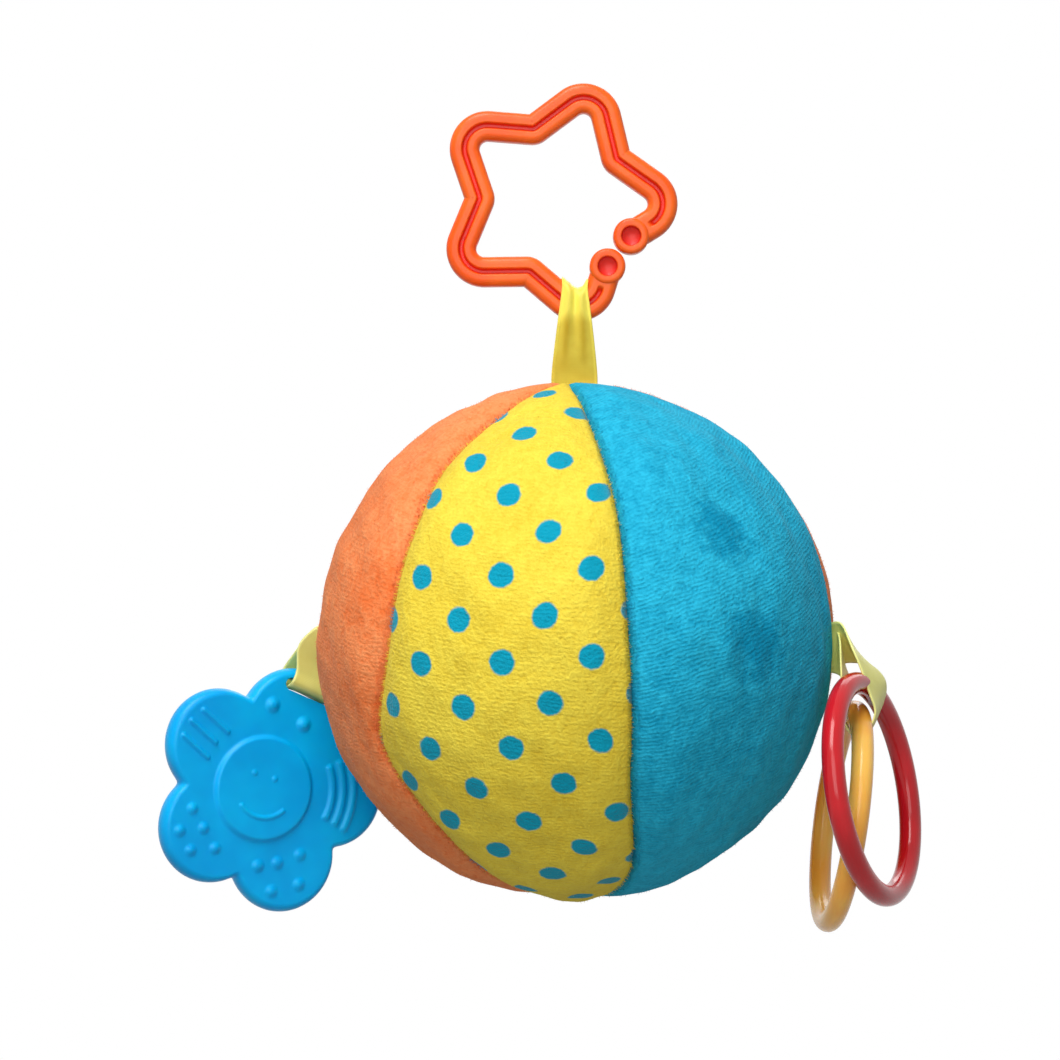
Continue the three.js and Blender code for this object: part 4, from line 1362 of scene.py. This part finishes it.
@dataclass
class FlowerTeether:
    """The flower: five round petals in one moulding, each with its teething pattern, and a raised face."""

    centre: tuple[float, float, float] = (-79.1254, 19.2226, -37.9172)
    yaw: float = 28.0
    turn: float = -5.0
    petals: int = 5
    petal_radius: float = 14.1
    petal_offset: float = 18.0
    thickness: float = 6.0
    edge: float = 2.0
    face_radius: float = 14.0
    face_raise: float = 1.0
    face_rim: float = 1.4
    face_middle: tuple[float, float] = (-2.2, 0.2)
    eyes: Studs = Studs(1.1, 0.3, ((-2.8, 4.2), (2.8, 2.4)))
    smile: Arcs = Arcs((0.2, 0.6), (8.0,), (0.2, 0.8), 0.38, (46, 53), below=True, tilt=9.0)
    patterns: tuple[Studs | Ridges | Arcs, ...] = (
        Arcs((0.0, -16.0), (15.3, 18.3, 21.3), (0.3, 1.3), 0.6, (24, 29)),
        Studs(2.4, 0.9, ((-8.0, 2.0), (2.0, 0.6))),
        Ridges(4.3, 0.9, 0.65, ((-5.0, 5.3), (-0.8, 6.1), (3.4, 5.3))),
        Studs(1.9, 0.65, ((7.6, 2.8), (1.7, 2.8), (-4.4, 2.8), (4.7, 8.6), (-1.2, 8.7))),
        Studs(2.1, 0.6, ((8.0, 0.1), (2.6, 0.8), (-4.0, 0.4), (5.8, 7.4), (-2.0, 7.7))),
    )
    slot_length: float = 13.4
    slot_width: float = 3.2
    slot_distance: float = 26.9
    sides: int = 480
    flat_rows: int = 100
    edge_rows: int = 13
    back_rows: int = 26

    def outline(self, angle: Array) -> Array:
        """The flower's radius at an angle: the farthest point of any petal's circle, its notches eased.

        Args:
            angle: Radians round the flower.

        Returns:
            The radii.
        """
        petal = np.radians(self.turn + np.arange(self.petals) * 360 / self.petals)[:, None]
        ahead = self.petal_offset * np.cos(angle - petal)
        room = ahead ** 2 - self.petal_offset ** 2 + self.petal_radius ** 2
        reach = np.where(room > 0, ahead + np.sqrt(np.maximum(room, 0)), 0).max(0)
        wide = np.concatenate([reach[-4:], reach, reach[:4]])
        return np.convolve(wide, np.array([1, 2, 3, 4, 5, 4, 3, 2, 1]) / 25, "valid")

    def beside_slot(self, out: float, back: float) -> tuple[float, float, float]:
        """A place by the distance from the flower's middle towards the slot and behind its middle plane.

        Args:
            out: Millimetres outwards along the slot's petal.
            back: Millimetres behind the middle plane.

        Returns:
            The place.
        """
        angle, yaw = math.radians(self.turn + 360 / self.petals), math.radians(self.yaw)
        level = out * math.cos(angle)
        x = self.centre[0] + level * math.cos(yaw) - back * math.sin(yaw)
        y = self.centre[1] + level * math.sin(yaw) + back * math.cos(yaw)
        return x, y, self.centre[2] + out * math.sin(angle)

    def petal_axes(self, x: Array, z: Array, number: int) -> tuple[Array, Array]:
        """Places seen from a petal's middle: to the right across it and outwards along it."""
        angle = math.radians(self.turn + number * 360 / self.petals)
        out = x * math.cos(angle) + z * math.sin(angle) - self.petal_offset
        across = x * math.sin(angle) - z * math.cos(angle)
        return across, out

    def face_disc(self, x: Array, z: Array) -> Array:
        """The raised round face: its full height inside its rim and a smooth step down along the rim."""
        span = np.hypot(x - self.face_middle[0], z - self.face_middle[1])
        return self.face_raise * (1 - ease(span, self.face_radius - self.face_rim, self.face_radius))

    def relief(self, x: Array, z: Array) -> Array:
        """How far the front stands out: the face's disc, each petal's pattern, the smile and the eyes.

        Args:
            x: Places to the right of the flower's middle.
            z: Places above it.

        Returns:
            Heights above the petals' face.
        """
        total = self.face_disc(x, z)
        for number, pattern in enumerate(self.patterns):
            total = total + pattern.rise(*self.petal_axes(x, z, number))
        a, b = x - self.face_middle[0], z - self.face_middle[1]
        return total + self.smile.rise(a, b) + self.eyes.rise(a, b)

    def body(self) -> Surface:
        """A polar sheet from the front's middle over the round edge to the back's, raised by the relief."""
        angle = np.arange(self.sides) * 2 * np.pi / self.sides
        rim = self.outline(angle)[None, :]
        flat = np.linspace(0, 1, self.flat_rows)[:, None]
        bend = np.linspace(0, np.pi, self.edge_rows)[1:-1, None]
        back = np.linspace(1, 0, self.back_rows)[:, None]
        half = self.thickness / 2
        reach = np.concatenate([
            flat * (rim - self.edge), rim - self.edge + self.edge * np.sin(bend), back * (rim - self.edge),
        ])
        bent = -(half - self.edge) * np.cos(bend) - self.edge * np.cos(bend)
        level = np.concatenate([np.full_like(flat, -half), bent, np.full_like(back, half)])
        x, z = reach * np.cos(angle), reach * np.sin(angle)
        raised = self.relief(x, z)
        front = (np.arange(len(reach)) < self.flat_rows)[:, None]
        rear = (np.arange(len(reach)) >= self.flat_rows + self.edge_rows - 2)[:, None]
        y = level - np.where(front, raised, 0) + np.where(rear, self.face_disc(x, z), 0)
        points = np.stack([x, y, z], -1).reshape(-1, 3)
        return Surface(points, grid_quads(len(reach), self.sides, True)).outward()

    def slot(self) -> Surface:
        """The slot's form: a bar with round ends through the petal that hangs, square to its axis."""
        angle = math.radians(self.turn + 360 / self.petals)
        turn = np.linspace(0, 2 * np.pi, 49)[:-1]
        run = (self.slot_length - self.slot_width) / 2
        along = np.sign(np.cos(turn)) * run + self.slot_width / 2 * np.cos(turn)
        out = self.slot_distance + self.slot_width / 2 * np.sin(turn)
        x = out * math.cos(angle) + along * math.sin(angle)
        z = out * math.sin(angle) - along * math.cos(angle)
        ends = (-self.thickness, self.thickness)
        return hose(np.stack([np.stack([x, np.full_like(x, y), z], -1) for y in ends]))

    def stand(self, form: Surface) -> Surface:
        """Turns a form by the flower's yaw and puts it at its place."""
        yaw = math.radians(self.yaw)
        spin = np.array([[math.cos(yaw), -math.sin(yaw), 0], [math.sin(yaw), math.cos(yaw), 0], [0, 0, 1]])
        form.points = form.points @ spin.T + np.array(self.centre)
        return form

    def build(self) -> None:
        """Makes the flower on its own body, its slot cut through."""
        finish = Moulded(
            "blue teether plastic", "00B8F8", "00A6EC", "0078B8",
            rough=0.36, glow=0.2, specular=0.2, coat=0.0, dimpling=0.08,
        ).material()
        piece = make_piece("flower_petals", [self.stand(self.body())], finish)
        cutter = make_piece("slot form", [self.stand(self.slot())], finish)
        cut = piece.modifiers.new("slot", "BOOLEAN")
        cut.operation = "DIFFERENCE"
        cut.solver = "MANIFOLD"
        cut.object = cutter
        shaped = piece.evaluated_get(bpy.context.evaluated_depsgraph_get())
        mesh = bpy.data.meshes.new_from_object(shaped)
        piece.modifiers.clear()
        piece.data = mesh
        bpy.data.objects.remove(cutter)
        log.info("flower_petals: %d faces with its slot", len(mesh.polygons))
        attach(piece, "teether")
        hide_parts("flower_teether")


@dataclass
class TeethingRing:
    """A round ring of round wire, with the faint flat of a mould parting inside and outside."""

    name: str
    node: str
    body: str
    centre: tuple[float, float, float]
    level: tuple[float, float, float]
    up: tuple[float, float, float]
    finish: Moulded
    diameter: float = 58.0
    wire: float = 5.5
    parting_width: float = 0.12
    parting_depth: float = 0.04
    sides: int = 160
    section: int = 40

    def surface(self) -> Surface:
        """A circle carried round a circle, its radius dipping a little along the parting line."""
        around = np.arange(self.sides) * 2 * np.pi / self.sides
        turn = np.arange(self.section) * 2 * np.pi / self.section
        parting = np.exp(-((np.sin(turn) / self.parting_width) ** 2))
        thick = self.wire / 2 - self.parting_depth * parting
        ring = (self.diameter - self.wire) / 2 + thick * np.cos(turn)
        level, up = np.array(self.level), np.array(self.up)
        axis = np.cross(level, up)
        flat = np.cos(around)[:, None] * level + np.sin(around)[:, None] * up
        points = flat[:, None] * ring[None, :, None] + (thick * np.sin(turn))[None, :, None] * axis
        number = np.arange(self.sides * self.section).reshape(self.sides, self.section)
        right, below = np.roll(number, -1, 1), np.roll(number, -1, 0)
        quads = np.stack([number, right, np.roll(right, -1, 0), below], -1).reshape(-1, 4)
        return Surface(points.reshape(-1, 3) + np.array(self.centre), quads).outward()

    def build(self) -> None:
        """Makes the ring on its own body."""
        piece = make_piece(self.name, [self.surface()], self.finish.material())
        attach(piece, self.body)
        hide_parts(self.node)


@dataclass
class Rattle:
    """The capsule and its beads, which stay as the solids they are and get their plastics."""

    shells: tuple[str, ...] = ("rattle_shell_upper", "rattle_shell_lower")
    beads: tuple[str, ...] = ("rattle_bead_1", "rattle_bead_2", "rattle_bead_3")

    def dress(self) -> None:
        """Gives the capsule and the beads their finishes."""
        capsule = Moulded("capsule plastic", "F4F3EE", "E6E4DC", "E6E4DC", rough=0.42, coat=0.05).material()
        bead = Moulded("bead plastic", "E0D6BE", "CDBFA0", "CDBFA0", rough=0.38, coat=0.1).material()
        for names, finish in ((self.shells, capsule), (self.beads, bead)):
            for name in names:
                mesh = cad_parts[name].data
                mesh.materials.clear()
                mesh.materials.append(finish)
                log.info("%s: solid kept, finish %s", name, finish.name)


# Stage


@dataclass(frozen=True)
class Lamp:
    """A soft square lamp that faces the ball: ball-centred metres, its side in metres, its power in watts."""

    name: str
    place: tuple[float, float, float]
    size: float
    power: float

    def hang(self) -> None:
        """Makes the lamp and turns it to the ball's middle."""
        data = bpy.data.lights.new(self.name, "AREA")
        data.energy = self.power
        data.size = self.size
        made = bpy.data.objects.new(self.name, data)
        middle = Vector(to_frame(np.zeros(3)))
        made.location = middle + Vector(self.place)
        made.rotation_euler = (middle - made.location).to_track_quat("-Z", "Y").to_euler()
        bpy.context.scene.collection.objects.link(made)


@dataclass
class Studio:
    """The plain pale floor, the soft lights, the white surround and the camera."""

    eye: tuple[float, float, float] = (-11.693, -1000.0, 28.203)
    frame_width: float = 265.97
    sensor: float = 36.0
    floor_drop: float = 0.30
    floor_half: float = 6.0
    floor_white: float = 0.8
    shadow_reach: tuple[float, float] = (0.25, 0.42)
    ambient: float = 0.12
    lamps: tuple[Lamp, ...] = (
        Lamp("key", (-0.30, -0.68, 1.25), 0.8, 18.6),
        Lamp("fill", (-0.1, -1.25, 0.45), 0.9, 8.2),
        Lamp("back", (0.3, 1.2, 0.9), 0.9, 5.0),
    )

    def seen(self, graph: Graph) -> Wire:
        """One for rays from the camera and for gloss and clear rays, so that these see plain white.

        Args:
            graph: The nodes that it joins.

        Returns:
            The mask.
        """
        names = ("Is Camera Ray", "Is Glossy Ray", "Is Transmission Ray")
        camera, gloss, clear = (graph.node("ShaderNodeLightPath", output=name) for name in names)
        return graph.most(graph.most(camera, gloss), clear)

    def surround(self) -> None:
        """A white world for what looks at it, and a dimmer one for the light that it gives."""
        world = bpy.data.worlds.new("studio")
        bpy.context.scene.world = world
        graph = Graph(world, "Background")
        graph.set(Color=(1, 1, 1, 1), Strength=self.seen(graph) * (1 - self.ambient) + self.ambient)

    def floor(self) -> None:
        """A wide pale floor below the toy: it holds the toy's shadow and turns plain white away from it."""
        graph = Graph(bpy.data.materials.new("pale floor"))
        place = graph.place()
        speck = graph.grain(place, 0.002)
        graph.set(Base_Color=graph.mix(speck, colour("8C8C8A"), colour("949492")), Roughness=0.8)
        level = graph.node("ShaderNodeVectorMath", {"operation": "MULTIPLY"}, {0: place, 1: (1, 1, 0)})
        away = graph.node("ShaderNodeVectorMath", {"operation": "LENGTH"}, {0: level}, "Value")
        white = self.floor_white + graph.step(away, *self.shadow_reach) * (1 - self.floor_white)
        share = self.seen(graph) * white
        glow = graph.node("ShaderNodeEmission", None, {"Color": (1, 1, 1, 1), "Strength": 1.0})
        plain = Wire(graph, graph.shader.outputs[0])
        mixed = graph.node("ShaderNodeMixShader", None, {0: share, 1: plain, 2: glow})
        graph.feed(graph.tree.nodes["Material Output"].inputs["Surface"], mixed)
        size, low = self.floor_half, -self.floor_drop
        corners = [(-size, -size, low), (size, -size, low), (size, size, low), (-size, size, low)]
        mesh = bpy.data.meshes.new("floor")
        mesh.from_pydata(corners, [], [(0, 1, 2, 3)])
        mesh.materials.append(graph.owner)
        made = bpy.data.objects.new("floor", mesh)
        bpy.context.scene.collection.objects.link(made)

    def camera(self) -> None:
        """A level camera in front, its lens set by how much of the ball's plane fills the picture."""
        data = bpy.data.cameras.new("camera")
        data.sensor_width = self.sensor
        data.lens = data.sensor_width * -self.eye[1] / self.frame_width
        made = bpy.data.objects.new("camera", data)
        made.location = Vector(to_frame(np.array(self.eye)))
        made.rotation_euler = (math.pi / 2, 0, 0)
        bpy.context.scene.collection.objects.link(made)
        bpy.context.scene.camera = made

    def build(self) -> None:
        """Makes the stage and sets plain colours."""
        bpy.context.scene.view_settings.view_transform = "Standard"
        self.surround()
        self.floor()
        for lamp in self.lamps:
            lamp.hang()
        self.camera()


@dataclass
class TeetherBall:
    """The whole toy."""

    ball: PlushBall = field(default_factory=PlushBall)
    star: StarLink = field(default_factory=StarLink)
    flower: FlowerTeether = field(default_factory=FlowerTeether)
    rattle: Rattle = field(default_factory=Rattle)

    def side_ribbons(self) -> list[SideRibbon]:
        """The left and right ribbons: knots from the seam round the flower's slot or the rings' wires."""
        sewn, turning = (0.0381, 0.1167, -0.9924), (0.62, 0.36, -0.70)
        slot = (0.8128, 0.4322, -0.3907)
        round_rim = (
            (30.8, -4.0), (27.4, -4.1), (26.3, -2.2), (26.1, 0.0), (26.3, 2.2), (27.4, 4.1), (30.8, 4.0),
        )
        left = SideRibbon(
            "left_satin", "left_ribbon", "left_loop",
            knots=(
                Knot((-60.0, 19.9, -1.4), sewn),
                Knot((-64.0, 20.2, -1.7), (0.22, 0.2, -0.955)),
                Knot((-67.1, 20.7, -5.0), turning),
                *(Knot(self.flower.beside_slot(out, back), slot) for out, back in round_rim),
                Knot((-66.6, 25.4, -4.4), (0.74, 0.44, -0.5)),
                Knot((-64.2, 21.4, -1.6), (0.22, 0.2, -0.955)),
                Knot((-60.0, 20.7, -1.4), sewn),
            ),
            outward=(-0.9487, 0.3161, 0.0), rests_on=("flower_petals",),
        )
        right = SideRibbon(
            "right_satin", "right_ribbon", "right_loop",
            knots=(
                Knot((61.2, -6.6, -1.5), sewn),
                Knot((65.2, -8.6, -2.6), (0.08, 0.3, -0.95)),
                Knot((67.0, -13.4, -9.0), (0.36, 0.86, -0.36)),
                Knot((65.0, -14.5, -16.8), (0.08, 0.995, 0.0)),
                Knot((69.7, -14.9, -23.4), (0.1, 0.995, 0.0)),
                Knot((74.2, -15.2, -17.2), (0.2, 0.98, 0.05)),
                Knot((74.1, -15.5, -10.4), (0.44, 0.89, 0.1)),
                Knot((70.6, -15.0, -3.6), (0.46, 0.82, -0.34)),
                Knot((66.5, -10.0, 0.2), (0.22, 0.45, -0.86)),
                Knot((61.4, -7.2, -1.4), sewn),
            ),
            outward=(0.994, -0.11, 0.0), rests_on=("red_hoop", "amber_hoop"),
        )
        return [left, right]

    def rings(self) -> list[TeethingRing]:
        """The two teething rings."""
        red = Moulded("red ring plastic", "CC121E", "B40C16", "8A0C18", rough=0.18, coat=0.12, dimpling=0.08)
        amber = Moulded(
            "amber ring plastic", "FFC85C", "FFAE3E", "D89020",
            rough=0.24, glow=0.2, coat=0.12, dimpling=0.08,
        )
        return [
            TeethingRing(
                "red_hoop", "red_ring", "red", (72.2662, -22.7007, -35.3127),
                (0.4035, 0.915, 0.0), (-0.1542, 0.068, 0.9857), red,
            ),
            TeethingRing(
                "amber_hoop", "amber_ring", "amber", (65.6319, -8.8755, -42.9183),
                (-0.0698, 0.9976, 0.0), (0.1388, 0.0097, 0.9903), amber,
            ),
        ]

    def build(self) -> None:
        """Makes every piece in order, the ball first."""
        self.ball.inflate()
        self.ball.build()
        self.star.build()
        TopRibbon(self.star).build(TOP_SATIN.material())
        satin = SIDE_SATIN.material()
        for ribbon in self.side_ribbons():
            ribbon.build(satin)
        self.flower.build()
        for ring in self.rings():
            ring.build()
        self.rattle.dress()


def main() -> None:
    """Builds the studio and the toy."""
    logging.basicConfig(level=logging.INFO, format="%(message)s")
    Studio().build()
    TeetherBall().build()


if __name__ == "__main__":
    main()
